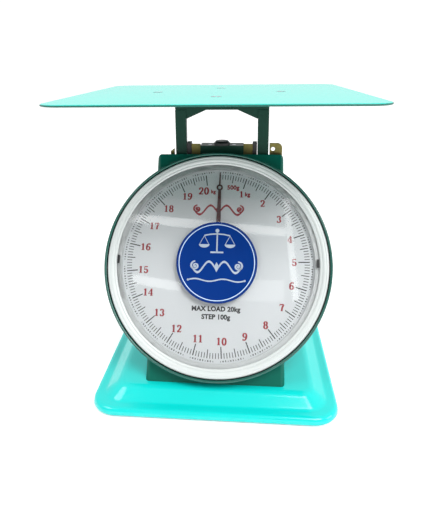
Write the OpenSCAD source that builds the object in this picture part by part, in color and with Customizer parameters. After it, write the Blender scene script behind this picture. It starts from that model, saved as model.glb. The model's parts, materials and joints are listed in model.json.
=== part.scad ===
// Mechanical dial platform scale: a spring-carried square platform on a leaning dial body.
// Origin: on the surface it stands on, under the middle of the platform. Front is -Y, up is +Z.

/* [Platform] */
// side of the square platform
platform_size = 252; // [200:1:320]
// radius of the platform's corners
platform_corner = 18; // [8:1:30]
// thickness of the platform's sheet
platform_sheet = 1.2; // [1:0.1:1.6]
// depth of the platform's turned-down edge
platform_edge = 2; // [1.8:0.1:8]
// distance from the platform's middle to each fixing screw
platform_screw_reach = 57; // [45:1:70]
// turn of the platform on its column, degrees
platform_turn = 1.2; // [0:0.1:3]
// height of the platform's sheet above the top of the body
platform_lift = 60.9; // [50:0.1:80]

/* [Base] */
// width of the base
base_width = 217; // [190:1:270]
// depth of the base, front to back
base_depth = 231; // [205:1:270]
// height of the base's top
base_height = 17; // [16:0.5:24]
// height of the base's lower ledge
ledge_height = 8; // [7:0.5:12]
// width of the lower ledge
ledge_width = 10; // [8:0.5:16]
// how far the base slopes in between its ledge and its top
slope_width = 12; // [6:0.5:14]
// radius of the base's corners
base_corner = 24; // [16:1:36]
// thickness of the pressed steel of the base
base_sheet = 1.2; // [0.8:0.1:1.6]
// diameter of a rubber foot
foot_d = 20; // [14:1:28]

/* [Body] */
// width of the body
body_width = 125; // [118:1:150]
// height of the front panel's top edge
body_top = 205.5; // [190:0.5:230]
// height of the body's rear top edge
body_rear_top = 186; // [170:1:189]
// how far the rear cover stands behind the middle
body_back = 96; // [90:1:106]
// thickness of the casing's sheet
casing_sheet = 1.2; // [0.8:0.1:1.6]
// width of the front panel's returned sides
return_width = 8; // [6:0.5:12]
// radius of the front panel's upright corners
panel_corner = 4; // [3:0.5:6]

/* [Dial] */
// how far the dial leans back from upright, degrees
tilt = 28.7; // [24:0.1:32]
// distance from the middle of the platform forward to the dial's centre
dial_forward = 38.2; // [34:0.1:42]
// height of the dial's centre
dial_z = 112.7; // [106:0.1:125]
// outer radius of the drum's rolled lip
drum_radius = 105.4; // [98:0.1:110]
// thickness of the rolled lip
lip_width = 2.4; // [1.6:0.1:3.2]
// outer radius of the bezel ring
bezel_radius = 102; // [95:0.1:104]
// inner radius of the bezel ring
bezel_bore = 95.3; // [90:0.1:96]
// inner radius of the spacer ring under the glass
spacer_bore = 90; // [88:0.1:92]
// thickness of the glass
lens_t = 2; // [1.5:0.1:3]
// clear depth between the dial face and the glass
dial_depth = 5.4; // [5:0.1:8]
// radius of the centre disc
disc_radius = 37.5; // [25:0.5:45]
// turn of the pointer at no load, degrees
zero_angle = 0.6; // [0:0.1:4]

/* [Pointer work] */
// gear module of the rack and the pinion
gear_module = 0.5; // [0.4:0.05:0.6]
// number of teeth on the pinion
pinion_teeth = 12; // [10:1:14]
// diameter of the arbor
arbor_d = 3; // [2:0.1:4]
// length of the pointer from its axis
pointer_length = 87.2; // [80:0.1:88]
// thickness of the pointer
pointer_t = 0.6; // [0.4:0.1:1]
// distance between the two movement plates
movement_gap = 14; // [12:0.5:18]
// thickness of a movement plate
movement_plate_t = 1.5; // [1:0.1:2]
// thickness of the rack
rack_t = 3; // [2:0.1:4]

/* [Load column] */
// distance that the middle of the load column stands right of the dial's axis
column_x = 1.5; // [0:0.1:3]
// distance of the posts behind the middle of the platform
column_y = 24; // [22:0.5:28]
// width of a post
post_width = 10.8; // [9:0.1:13]
// depth of a post
post_depth = 8; // [6:0.5:10]
// clear width between the posts
post_window = 70.7; // [68:0.1:80]
// full travel of the load column, from empty to full
load_travel = 16.07; // [12:0.01:18]
// height of the tie bar's underside
tie_z = 60; // [56:1:66]

/* [Springs and links] */
// diameter of the spring wire
wire_d = 2.4; // [1.6:0.1:3]
// mean radius of a spring's coil
coil_r = 7.8; // [6:0.1:8]
// number of turns of a spring
coil_turns = 14; // [10:1:18]
// distance of each spring from the column's middle
spring_offset = 12; // [11:0.5:12.5]
// length of a parallel-motion link between its pivots
link_length = 60; // [52:1:64]
// height of the upper link's rod
upper_link_z = 158; // [150:1:166]
// height of the lower link's rod
lower_link_z = 92; // [86:1:98]
// diameter of the link rods and studs
rod_d = 5; // [4:0.1:6]

/* [Fits] */
// radial clearance of a running fit
running_gap = 0.05; // [0.02:0.01:0.1]
// gap between parts that move past each other
free_gap = 0.5; // [0.4:0.1:0.8]
// radial clearance of a screw in its hole
hole_gap = 0.2; // [0.1:0.05:0.3]
// radial clearance of the links at the studs, which lets the rods guide the column
link_gap = 0.9; // [0.7:0.1:1.2]

/* [Hidden] */
$fn = 96;
lean_sin = sin(tilt);
lean_cos = cos(tilt);
eps = 0.01;
over = 1;

// Heights of the load column
spider_top = body_top + platform_lift;
platform_top = spider_top + platform_sheet;
spider_h = 8.5;
spider_width = 24;
spider_reach = platform_screw_reach + 7;
yoke_h = 9.1;
yoke_z = spider_top - spider_h - yoke_h;
gusset_drop = 9;
gusset_run = 20;
tie_h = 8;

// Dial stack, measured outward from the face of the dial
face_t = 0.8;
face_radius = bezel_bore - 0.3;
lens_radius = bezel_bore + 1.7;
bezel_front = dial_depth + lens_t + 1.2;
drum_back = 3;
drum_sheet = 1;
drum_wall = 1.6;
lip_front = bezel_front + 0.8;
disc_t = 0.8;
arbor_hole_r = 6;
face_screw_r = 26;
face_screw_d = 2.5;

// Screws
panel_screw_d = 3;
frame_screw_d = 4;
foot_screw_d = 4;

// Casing
panel_front = drum_back;
panel_back = panel_front + casing_sheet;
return_back = panel_front + return_width;
side_inner = body_width / 2 - casing_sheet;
cover_y = body_back - casing_sheet;
top_corner = 6;

// Inner frame, measured sideways from the column's middle
frame_inner = 21.5;
frame_t = 1.6;
relief_d = 20;
frame_top = body_top + 9.5;
frame_back = column_y + link_length + 6;
flange_low = body_top - 18;
guide_width = 4.3;
guide_inner = post_window / 2 - guide_width - free_gap;
flange_y = column_y - 2;
beam_low = body_top - 3;
beam_top = frame_top - 1.5;
beam_front = column_y - post_depth / 2;
beam_depth = 18;
link_inner = guide_inner - 2.2;
link_t = 1.6;

// Movement, measured outward from the face of the dial
front_plate_z = -12;
rear_plate_z = front_plate_z - movement_plate_t - movement_gap;
pinion_z = front_plate_z - movement_plate_t - movement_gap / 2;
pinion_face = 5;
pitch_r = gear_module * pinion_teeth / 2;
rack_depth = 5;
rack_foot = -40;
rack_travel = load_travel / lean_cos;
plate_width = 40;
plate_height = 48;
pillar_r = 2.5;
pillar_x = 15;
pillar_y = 19;
pin_d = 3;
drive_x = 12;
drive_t = 1.6;

enamel = [0.18, 0.91, 0.86];
shaded_enamel = [0.06, 0.36, 0.31];
dark_enamel = [0.03, 0.25, 0.20];
zinc = [0.62, 0.58, 0.30];
steel = [0.72, 0.73, 0.75];
black = [0.06, 0.06, 0.07];
brass = [0.78, 0.62, 0.28];
face_white = [0.95, 0.95, 0.93];

// A plane that leans with the dial, lying the given distance behind the dial's face:
// how far back it is at height z.
function lean_y(z, behind) =
    -dial_forward + behind * lean_cos + (z - dial_z + behind * lean_sin) * tan(tilt);

// Puts its children in the dial's own frame: x right, y up the dial, z out of its face.
module on_dial() {
    translate([0, -dial_forward, dial_z])
        rotate([90 - tilt, 0, 0])
            children();
}

// A flat plate with round corners, centred, from z = 0 up.
module round_plate(w, d, r, h) {
    linear_extrude(h)
        round_outline(w, d, r);
}

module round_outline(w, d, r) {
    square([w - 2 * r, d], center = true);
    square([w, d - 2 * r], center = true);
    for (sx = [-1, 1], sy = [-1, 1])
        translate([sx * (w / 2 - r), sy * (d / 2 - r)])
            circle(r);
}

// A cylinder about the line through a point that runs along X.
module along_x(d, length) {
    rotate([0, 90, 0])
        cylinder(d = d, h = length, center = true);
}

// A screw that stands on z = 0 with its shank below and a domed head above.
module dome_screw(d, head_d, head_h, length) {
    rim_h = 0.4 * head_h;
    slot_w = 0.12 * head_d;
    difference() {
        union() {
            translate([0, 0, -length])
                cylinder(d = d, h = length);
            cylinder(d = head_d, h = rim_h);
            translate([0, 0, rim_h])
                cylinder(d1 = head_d, d2 = 0.6 * head_d, h = head_h - rim_h);
        }
        translate([-head_d, -slot_w / 2, head_h - rim_h])
            cube([2 * head_d, slot_w, head_h]);
    }
}

// A ring between two radii, from z = low to z = high.
module ring(r_out, r_in, low, high) {
    translate([0, 0, low])
        difference() {
            cylinder(r = r_out, h = high - low, $fn = 180);
            translate([0, 0, -over])
                cylinder(r = r_in, h = high - low + 2 * over, $fn = 180);
        }
}

// Places of the four feet
module foot_places() {
    inset = base_corner + 6;
    for (sx = [-1, 1], sy = [-1, 1])
        translate([sx * (base_width / 2 - inset), sy * (base_depth / 2 - inset), 0])
            children();
}

// ---- Base ----

// The solid outline of the pressed base, drawn in by a distance on every face.
module base_form(inset) {
    skirt_lean = 1.5;
    hem = 2;
    slab = 0.5;
    shoulder = ledge_height - hem - inset;
    hull() {
        round_slab(inset, 0, hem);
        round_slab(inset + skirt_lean, shoulder, slab);
    }
    hull() {
        round_slab(inset + skirt_lean, shoulder, slab);
        round_slab(inset + 2 * skirt_lean, ledge_height - inset - slab, slab);
    }
    hull() {
        round_slab(inset + ledge_width, ledge_height - inset - slab, slab);
        round_slab(inset + ledge_width + slope_width, base_height - inset - slab, slab);
    }
}

module round_slab(inset, z, h) {
    translate([0, 0, z])
        linear_extrude(h)
            round_outline(base_width - 2 * inset, base_depth - 2 * inset,
                          max(base_corner - inset, 2), $fn = 64);
}

foot_h = 4;
foot_recess = 2;
pan_low = 2;
hole_depth = 20;
module base_pan() {
    color(enamel)
        difference() {
            translate([0, 0, pan_low])
                base_form_above(0);
            translate([0, 0, pan_low - eps])
                base_form_above(base_sheet);
            panel_places()
                cylinder(d = panel_screw_d + 2 * hole_gap, h = hole_depth, center = true);
            both_frame_screw_places()
                cylinder(d = frame_screw_d + 2 * hole_gap, h = hole_depth, center = true);
        }
}

// The base's form less the strip that the feet lift it by.
module base_form_above(inset) {
    difference() {
        translate([0, 0, -pan_low])
            base_form(inset);
        translate([-base_width, -base_depth, -2 * over - pan_low])
            cube([2 * base_width, 2 * base_depth, 2 * over + pan_low]);
    }
}

plate_z = foot_h;
bottom_t = 1.2;
module bottom_plate() {
    inset = 8;
    color(steel)
        translate([0, 0, plate_z])
            difference() {
                round_plate(base_width - 2 * inset, base_depth - 2 * inset, base_corner - inset, bottom_t);
                foot_places()
                    translate([0, 0, -over])
                        cylinder(d = foot_screw_d + 2 * hole_gap, h = bottom_t + 2 * over);
            }
}

module rubber_feet() {
    color(black)
        foot_places()
            difference() {
                cylinder(d1 = foot_d - 3, d2 = foot_d, h = foot_h);
                translate([0, 0, -over])
                    cylinder(d = 9, h = over + foot_recess);
                cylinder(d = foot_screw_d + 2 * hole_gap, h = foot_h + over);
            }
}

module foot_screws() {
    color(steel)
        foot_places()
            translate([0, 0, foot_recess])
                mirror([0, 0, 1])
                    dome_screw(foot_screw_d, 8, 1.5, foot_h + bottom_t);
}

// ---- Casing of the body ----

module front_panel() {
    length = 2 * body_top;
    color(dark_enamel)
        difference() {
            intersection() {
                on_dial()
                    translate([0, -length / 2, 0])
                        rotate([-90, 0, 0])
                            linear_extrude(length / 2 + panel_reach())
                                translate([0, panel_front])
                                    panel_outline();
                translate([0, base_depth, 0])
                    rotate([90, 0, 0])
                        linear_extrude(2 * base_depth)
                            round_outline(body_width, 2 * (body_top + 0.5), top_corner);
            }
            translate([-body_width, -base_depth, -over - body_top])
                cube([2 * body_width, 2 * base_depth, body_top + over + base_height]);
            on_dial()
                translate([0, 0, -2 * panel_back])
                    cylinder(r = arbor_hole_r + 3, h = 2 * panel_back);
        }
}

// How far up the dial's slope the front panel's top edge lies.
function panel_reach() = (body_top - dial_z + panel_front * lean_sin) / lean_cos;

// Cross-section of the front panel: a shallow tray with round corners, open to the back.
module panel_outline() {
    difference() {
        tray(body_width, panel_corner);
        translate([0, casing_sheet])
            tray(body_width - 2 * casing_sheet, panel_corner - casing_sheet);
    }
}

module tray(w, r) {
    translate([-w / 2 + r, 0])
        square([w - 2 * r, return_width]);
    translate([-w / 2, r])
        square([w, return_width - r]);
    for (side = [-1, 1])
        translate([side * (w / 2 - r), r])
            circle(r);
}

// Side panel, drawn with its inner face at x = 0 and its thickness outward.
module side_panel() {
    flange = 10;
    flange_start = 6;
    flange_short = 20;
    front_low = lean_y(base_height, return_back);
    front_high = lean_y(body_top, return_back);
    rotate([90, 0, 90])
        linear_extrude(casing_sheet)
            polygon([[front_low, base_height], [body_back, base_height], [body_back, body_rear_top],
                     [front_high, body_top - top_corner]]);
    translate([-flange, front_low + flange_start, base_height])
        cube([flange, body_back - front_low - flange_short, casing_sheet]);
}

module side_panel_left() {
    color(dark_enamel)
        difference() {
            mirror([1, 0, 0])
                translate([side_inner, 0, 0])
                    side_panel();
            panel_holes();
        }
}

module side_panel_right() {
    color(dark_enamel)
        difference() {
            translate([side_inner, 0, 0])
                side_panel();
            panel_holes();
        }
}

module panel_places() {
    for (side = [-1, 1], y = [-50, 60])
        translate([side * (side_inner - 5), y, base_height + casing_sheet])
            children();
}

module panel_holes() {
    panel_places()
        translate([0, 0, -2 * casing_sheet])
            cylinder(d = panel_screw_d + 2 * hole_gap, h = 4 * casing_sheet);
}

module panel_screws() {
    color(steel)
        panel_places()
            dome_screw(panel_screw_d, 6, 2, 3 + casing_sheet);
}

module rear_cover() {
    side_gap = 0.2;
    end_gap = 0.5;
    color(dark_enamel)
        difference() {
            translate([-side_inner + side_gap, cover_y, base_height + end_gap])
                cube([2 * (side_inner - side_gap), casing_sheet, body_rear_top - base_height - 2 * end_gap]);
            cover_places()
                cylinder(d = panel_screw_d + 2 * hole_gap, h = 8, center = true);
        }
}

module cover_places() {
    for (side = [-1, 1], z = [base_height + 14, body_rear_top - 12])
        translate([side * (side_inner - 8), body_back, z])
            rotate([-90, 0, 0])
                children();
}

module cover_screws() {
    color(steel)
        cover_places()
            dome_screw(panel_screw_d, 6.5, 2, 5);
}

// ---- Inner frame ----

// One side frame, drawn right of the column's middle with its outer face towards +x.
module side_frame() {
    low = base_height;
    front_gap = 30;
    foot = 12;
    foot_front = 44;
    shoulder = frame_top - 6;
    shelf = flange_low - 6;
    slack = 2;
    translate([frame_inner, 0, 0])
        difference() {
            rotate([90, 0, 90])
                linear_extrude(frame_t)
                    polygon([[lean_y(low, front_gap), low], [frame_back, low],
                             [frame_back, upper_link_z + 12],
                             [column_y + post_depth, shoulder], [flange_y, shoulder],
                             [flange_y, flange_low], [lean_y(shelf, front_gap), shelf]]);
            for (z = [40, 72, 104, 136])
                translate([0, 54, z])
                    along_x(relief_d, 4 * frame_t);
            for (z = [upper_link_z, lower_link_z])
                translate([0, column_y + link_length, z])
                    along_x(rod_d + 2 * running_gap, 4 * frame_t);
            translate([0, -20, 42])
                along_x(relief_d, 4 * frame_t);
            translate([-over, column_y - post_depth / 2 - slack, tie_z - load_travel - slack - over])
                cube([frame_t + 2 * over, post_depth + 2 * slack, load_travel + tie_h + 2 * (slack + over)]);
        }
    translate([frame_inner, flange_y, flange_low])
        cube([guide_inner - frame_inner, frame_t, frame_top - flange_low]);
    difference() {
        translate([frame_inner, -foot_front, low])
            cube([foot, frame_back + foot_front, frame_t]);
        frame_screw_places()
            cylinder(d = frame_screw_d + 2 * hole_gap, h = 6 * frame_t, center = true);
    }
}

module both_frame_screw_places() {
    for (side = [0, 1])
        translate([column_x, 0, 0])
            mirror([side, 0, 0])
                frame_screw_places()
                    children();
}

module frame_screw_places() {
    for (y = [-36, 80])
        translate([frame_inner + 8, y, base_height + frame_t])
            children();
}

module frame_left() {
    color(zinc)
        difference() {
            translate([column_x, 0, 0])
                mirror([1, 0, 0])
                    side_frame();
            beam_screw_holes();
        }
}

module frame_right() {
    color(zinc)
        difference() {
            translate([column_x, 0, 0])
                side_frame();
            beam_screw_holes();
        }
}

module frame_screws() {
    color(steel)
        both_frame_screw_places()
            dome_screw(frame_screw_d, 8, 2.5, 3 + frame_t);
}

spacer_places = [[-38, 30], [74, 40], [76, 130]];
module frame_spacers() {
    color(steel)
        for (p = spacer_places)
            translate([column_x, p[0], p[1]])
                along_x(7, 2 * frame_inner);
}

module spring_beam() {
    color(shaded_enamel)
        difference() {
            translate([column_x - frame_inner, beam_front, beam_low])
                cube([2 * frame_inner, beam_depth, beam_top - beam_low]);
            translate([column_x, column_y, beam_low - over])
                cylinder(d = knob_shaft + 2 * running_gap, h = beam_top - beam_low + 2 * over);
            spring_places()
                translate([0, 0, beam_low - over])
                    cylinder(d = hanger_d, h = beam_top - beam_low + 2 * over);
            beam_screw_holes();
        }
}

hanger_d = 4;
spring_y = column_y + 3;
module spring_places() {
    for (side = [-1, 1])
        translate([column_x + side * spring_offset, spring_y, 0])
            children();
}

eye_r = 3.4;
eye_wire = 2.2;
hanger_eye_z = beam_low - 6;
anchor_eye_z = tie_z + tie_h + 6;
// An eye bolt: a ring on a shank that rises by the given length.
module eye_bolt(shank) {
    rotate([0, 90, 0])
        rotate_extrude($fn = 48)
            translate([eye_r, 0])
                circle(d = eye_wire, $fn = 24);
    translate([0, 0, eye_r])
        cylinder(d = hanger_d, h = shank);
}

module spring_hangers() {
    color(steel)
        spring_places()
            translate([0, 0, hanger_eye_z])
                eye_bolt(beam_top - hanger_eye_z - eye_r);
}

module beam_screw_places() {
    for (side = [0, 1])
        translate([column_x, 0, 0])
            mirror([side, 0, 0])
                translate([frame_inner + frame_t, column_y + post_depth / 2 + 1, beam_low + 4])
                    rotate([0, 90, 0])
                        children();
}

module beam_screw_holes() {
    beam_screw_places()
        cylinder(d = panel_screw_d + 2 * hole_gap, h = 16, center = true);
}

module beam_screws() {
    color(steel)
        beam_screw_places()
            dome_screw(panel_screw_d, 5, 1.6, frame_t + 5);
}

knob_shaft = 6;
knob_r = 8;
module zero_knob() {
    grips = 24;
    grip_r = 0.7;
    rim_h = 2;
    crown_h = 2.2;
    lift = 0.4;
    shaft_h = beam_top - beam_low + 3;
    color(black)
        translate([column_x, column_y, beam_top + lift]) {
            difference() {
                union() {
                    cylinder(r = knob_r, h = rim_h);
                    translate([0, 0, rim_h])
                        cylinder(r1 = knob_r, r2 = knob_r - 2, h = crown_h);
                }
                for (i = [0 : grips - 1])
                    rotate([0, 0, i * 360 / grips])
                        translate([knob_r + 0.3, 0, -over])
                            cylinder(r = grip_r, h = rim_h + crown_h + 2 * over, $fn = 16);
            }
            translate([0, 0, -shaft_h])
                cylinder(d = knob_shaft, h = shaft_h + eps);
        }
}

guide_top = beam_top + 3.4;
module post_guides() {
    low = flange_low + 4;
    color(black)
        for (side = [-1, 1])
            translate([column_x + side * (guide_inner + guide_width / 2) - guide_width / 2,
                       column_y - post_depth / 2 + 1, low])
                cube([guide_width, post_depth, guide_top - low]);
}

bracket_low = body_top - 22;
bracket_h = 16;
bracket_ear = 20;
// Bracket on the left wall with a guide for the outer side of the left post
module guide_bracket() {
    wedge = 4;
    post_gap = free_gap + 1.2;
    reach = column_x - post_window / 2 - post_width - post_gap;
    color(zinc) {
        translate([-side_inner, flange_y, bracket_low])
            cube([reach + side_inner - wedge, frame_t, bracket_h]);
        translate([-side_inner, flange_y, bracket_low])
            cube([frame_t, bracket_ear, bracket_h]);
    }
    color(black)
        translate([0, flange_y + frame_t, 0])
            rotate([90, 0, 0])
                linear_extrude(frame_t)
                    polygon([[reach - wedge, bracket_low], [reach, bracket_low], [reach, body_top + 5],
                             [reach - wedge, body_top + 2]]);
}

// Bracket on the right wall, with the hole that takes a pin in transit
module transit_bracket() {
    inner = column_x + post_window / 2 + post_width + free_gap + 0.6;
    width = side_inner - inner;
    height = frame_top + 1 - bracket_low;
    corner = 5;
    pin_hole_d = 4;
    color(zinc) {
        difference() {
            translate([inner, flange_y + frame_t, bracket_low])
                rotate([90, 0, 0])
                    linear_extrude(frame_t)
                        union() {
                            square([width, height - corner]);
                            square([width - corner, height]);
                            translate([width - corner, height - corner])
                                circle(corner);
                        }
            translate([inner + 3.4, flange_y, body_top + 4.5])
                rotate([90, 0, 0])
                    cylinder(d = pin_hole_d, h = 6 * frame_t, center = true);
        }
        translate([side_inner - frame_t, flange_y, bracket_low])
            cube([frame_t, bracket_ear, bracket_h]);
    }
}

module overload_buffers() {
    buffer_x = 14;
    clear = 1;
    color(black)
        for (side = [-1, 1])
            translate([column_x + side * buffer_x, column_y, base_height])
                cylinder(d = 10, h = tie_z - load_travel - clear - base_height);
}

// ---- Dial ----

module dial_drum() {
    color(shaded_enamel)
        on_dial() {
            ring(drum_radius, drum_radius - drum_wall, -drum_back, lip_front - lip_width / 2);
            ring(drum_radius - eps, arbor_hole_r + 2, -drum_back, -drum_back + drum_sheet);
            translate([0, 0, lip_front - lip_width / 2])
                rotate_extrude($fn = 180)
                    translate([drum_radius - lip_width / 2, 0])
                        circle(d = lip_width, $fn = 32);
        }
}

// Puts its children on a circle, at each of the given turns.
module ring_places(r, turns) {
    for (a = turns)
        rotate([0, 0, a])
            translate([0, r, 0])
                children();
}

module drum_screws() {
    circle_r = 50;
    color(steel)
        on_dial()
            ring_places(circle_r, [45, 135, 225, 315])
                translate([0, 0, -drum_back + drum_sheet])
                    cylinder(d = 3, h = 0.6);
}

module dial_face() {
    color(face_white)
        on_dial()
            difference() {
                ring(face_radius, arbor_hole_r, -face_t, 0);
                ring_places(face_screw_r, [90, 270])
                    translate([0, 0, -over])
                        cylinder(d = face_screw_d + 2 * hole_gap, h = 2 * over);
            }
}

module face_screws() {
    color(steel)
        on_dial()
            ring_places(face_screw_r, [90, 270]) {
                translate([0, 0, -drum_back + drum_sheet])
                    cylinder(d = face_screw_d, h = drum_back - drum_sheet + eps);
                cylinder(d = 4.5, h = 0.7);
            }
}

module lens_spacer() {
    color([0.75, 0.78, 0.78])
        on_dial()
            ring(face_radius, spacer_bore, 0, dial_depth);
}

module lens() {
    color([0.9, 0.97, 0.97, 0.25])
        on_dial()
            translate([0, 0, dial_depth])
                cylinder(r = lens_radius, h = lens_t, $fn = 180);
}

clip_width = 7.6;
clip_depth = 2;
clip_t = 0.8;
clip_turn = 89.5;
module lens_clips() {
    color(black)
        on_dial()
            ring_places((spacer_bore + bezel_bore) / 2 - 0.6, [-clip_turn, clip_turn])
                translate([-clip_width / 2, -clip_depth / 2, dial_depth + lens_t])
                    cube([clip_width, clip_depth, clip_t]);
}

module bezel_ring() {
    lens_seat = lens_radius + hole_gap;
    bezel_back = 1;
    color(face_white)
        on_dial()
            difference() {
                ring(bezel_radius, bezel_bore, bezel_back, bezel_front);
                translate([0, 0, bezel_back - over])
                    cylinder(r = lens_seat, h = dial_depth + lens_t + eps - bezel_back + over, $fn = 180);
            }
}

rivet_r = 1.5;
module centre_disc() {
    color([0.0, 0.25, 0.7])
        on_dial()
            ring(disc_radius, rivet_r, dial_depth + lens_t, dial_depth + lens_t + disc_t);
}

module disc_rivet() {
    color(steel)
        on_dial()
            translate([0, 0, dial_depth + lens_t]) {
                cylinder(r = rivet_r, h = disc_t);
                translate([0, 0, disc_t])
                    cylinder(r1 = 2.6, r2 = 1.6, h = 0.8);
            }
}

// ---- Movement behind the dial ----

module movement_plate(z) {
    on_dial()
        translate([0, 0, z])
            difference() {
                round_plate(plate_width, plate_height, 4, movement_plate_t);
                translate([0, 0, -over])
                    cylinder(d = bush_d, h = movement_plate_t + 2 * over);
                pillar_places()
                    translate([0, 0, -over])
                        cylinder(r = pillar_r, h = movement_plate_t + 2 * over);
            }
}

bush_d = 7;
module pillar_places() {
    for (sx = [-1, 1], sy = [-1, 1])
        translate([sx * pillar_x, sy * pillar_y, 0])
            children();
}

module movement_front_plate() {
    color(brass)
        movement_plate(front_plate_z - movement_plate_t);
}

module movement_rear_plate() {
    color(brass)
        movement_plate(rear_plate_z - movement_plate_t);
}

module movement_pillars() {
    rear = rear_plate_z - movement_plate_t - 1;
    color(steel)
        on_dial()
            pillar_places()
                translate([0, 0, rear])
                    cylinder(r = pillar_r, h = -panel_back - rear);
}

module arbor_bushes() {
    color(brass)
        on_dial()
            for (z = [front_plate_z - movement_plate_t, rear_plate_z - movement_plate_t])
                translate([0, 0, z])
                    difference() {
                        cylinder(d = bush_d, h = movement_plate_t);
                        translate([0, 0, -over])
                            cylinder(d = arbor_d + 2 * running_gap, h = movement_plate_t + 2 * over);
                    }
}

rack_back = pitch_r + gear_module + rack_depth;
module rack_guide() {
    guide_h = 12;
    color(brass)
        on_dial()
            translate([rack_back + free_gap, -guide_h / 2, rear_plate_z])
                cube([4, guide_h, movement_gap]);
}

module arbor() {
    rear = rear_plate_z - movement_plate_t - 1;
    color(steel)
        on_dial()
            translate([0, 0, rear])
                cylinder(d = arbor_d, h = pointer_z + pointer_t - rear);
}

// Outline of a gear with straight-sided teeth on the given pitch radius
module gear_outline(teeth, m) {
    r = m * teeth / 2;
    tooth = 360 / teeth;
    circle(r - 1.2 * m);
    for (i = [0 : teeth - 1])
        rotate([0, 0, i * tooth])
            polygon([[-0.95 * m, r - 1.3 * m], [0.95 * m, r - 1.3 * m], [0.75 * m, r],
                     [0.35 * m, r + 0.9 * m], [-0.35 * m, r + 0.9 * m], [-0.75 * m, r]]);
}

module pinion() {
    color(brass)
        on_dial()
            translate([0, 0, pinion_z - pinion_face / 2])
                difference() {
                    linear_extrude(pinion_face)
                        rotate([0, 0, zero_angle])
                            gear_outline(pinion_teeth, gear_module);
                    translate([0, 0, -over])
                        cylinder(d = arbor_d, h = pinion_face + 2 * over);
                }
}

pointer_z = 2.4;
module pointer_hub() {
    color(black)
        on_dial()
            ring(4.5, arbor_d / 2, 1, pointer_z);
}

module pointer() {
    ring_y = 72.2;
    ring_r = 3;
    wide = 3.4;
    tail = 18;
    tail_r = 7;
    boss_r = 5;
    color([0.18, 0.02, 0.05])
        on_dial()
            rotate([0, 0, -zero_angle])
                translate([0, 0, pointer_z])
                    difference() {
                        linear_extrude(pointer_t)
                            union() {
                                polygon([[-wide, -tail], [wide, -tail], [1.3, ring_y], [0.8, ring_y + 1],
                                         [0.45, pointer_length], [-0.45, pointer_length],
                                         [-0.8, ring_y + 1], [-1.3, ring_y]]);
                                translate([0, ring_y])
                                    circle(ring_r);
                                translate([0, -tail])
                                    circle(tail_r);
                                circle(boss_r);
                            }
                        translate([0, ring_y, -over])
                            cylinder(r = ring_r / 2, h = pointer_t + 2 * over);
                        translate([0, 0, -over])
                            cylinder(d = arbor_d, h = pointer_t + 2 * over);
                    }
}

module rack() {
    margin = 4;
    tooth = PI * gear_module;
    up = ceil((rack_travel + margin) / tooth);
    root = pitch_r + 1.2 * gear_module;
    color(brass)
        on_dial()
            translate([0, 0, pinion_z - rack_t / 2])
                linear_extrude(rack_t)
                    union() {
                        translate([root, rack_foot - margin])
                            square([rack_back - root, margin - rack_foot + (up + 1) * tooth]);
                        for (i = [-3 : up])
                            translate([root, (i + 0.5) * tooth])
                                polygon([[0.1, -0.95 * gear_module], [0.1, 0.95 * gear_module],
                                         [-1.2 * gear_module, 0.6 * gear_module],
                                         [-2 * gear_module, 0.3 * gear_module],
                                         [-2 * gear_module, -0.3 * gear_module],
                                         [-1.2 * gear_module, -0.6 * gear_module]]);
                    }
}

// Where the rack's drive pin stands at no load: y and z
function pin_y() = -dial_forward - pinion_z * lean_cos + rack_foot * lean_sin;
function pin_z() = dial_z + pinion_z * lean_sin + rack_foot * lean_cos;

module rack_pin() {
    color(steel)
        translate([rack_back, pin_y(), pin_z()])
            rotate([0, 90, 0])
                cylinder(d = pin_d, h = drive_x + drive_t + 1.5 - rack_back);
}

// ---- Load column ----

module screw_cross() {
    for (a = [0, 90, 180, 270])
        rotate([0, 0, a + platform_turn])
            translate([platform_screw_reach, 0, 0])
                children();
}

sink_d = 9;
module platform() {
    inner = platform_size - 2 * platform_sheet;
    color(enamel)
        translate([0, 0, platform_top - platform_edge])
            difference() {
                rotate([0, 0, platform_turn])
                    difference() {
                        round_plate(platform_size, platform_size, platform_corner, platform_edge);
                        translate([0, 0, -over])
                            round_plate(inner, inner, platform_corner - platform_sheet,
                                        platform_edge - platform_sheet + over);
                    }
                screw_cross()
                    translate([0, 0, platform_edge - platform_sheet])
                        cylinder(d1 = sink_d - 2 * platform_sheet, d2 = sink_d, h = platform_sheet + eps);
            }
}

platform_screw_d = 4;
module platform_screws() {
    head_d = sink_d - hole_gap;
    shank = 5;
    slot_w = 1;
    slot_depth = 0.8;
    color(steel)
        screw_cross()
            difference() {
                union() {
                    translate([0, 0, spider_top])
                        cylinder(d1 = head_d - 2 * platform_sheet, d2 = head_d, h = platform_sheet);
                    translate([0, 0, spider_top - shank])
                        cylinder(d = platform_screw_d, h = shank + eps);
                }
                translate([-sink_d, -slot_w / 2, platform_top - slot_depth])
                    cube([2 * sink_d, slot_w, 2 * slot_depth]);
            }
}

module platform_spider() {
    color(shaded_enamel)
        translate([0, 0, spider_top - spider_h])
            difference() {
                union() {
                    for (a = [0, 90])
                        rotate([0, 0, a + platform_turn])
                            translate([-spider_reach, -spider_width / 2, 0])
                                cube([2 * spider_reach, spider_width, spider_h]);
                    translate([column_x - post_window / 2 - post_width, 0, 0])
                        cube([post_window + 2 * post_width, column_y + post_depth / 2, spider_h]);
                }
                screw_cross()
                    translate([0, 0, spider_h - 6])
                        cylinder(d = platform_screw_d, h = 6 + over);
            }
}

module yoke_head() {
    half = post_window / 2;
    tip = half - gusset_run;
    root = 2;
    color(shaded_enamel)
        translate([column_x, column_y + post_depth / 2, 0])
            rotate([90, 0, 0])
                linear_extrude(post_depth)
                    union() {
                        translate([-half - post_width, yoke_z])
                            square([2 * (half + post_width), yoke_h]);
                        for (side = [-1, 1])
                            polygon([[side * half, yoke_z + root], [side * half, yoke_z - gusset_drop],
                                     [side * tip, yoke_z], [side * tip, yoke_z + root]]);
                    }
}

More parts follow.
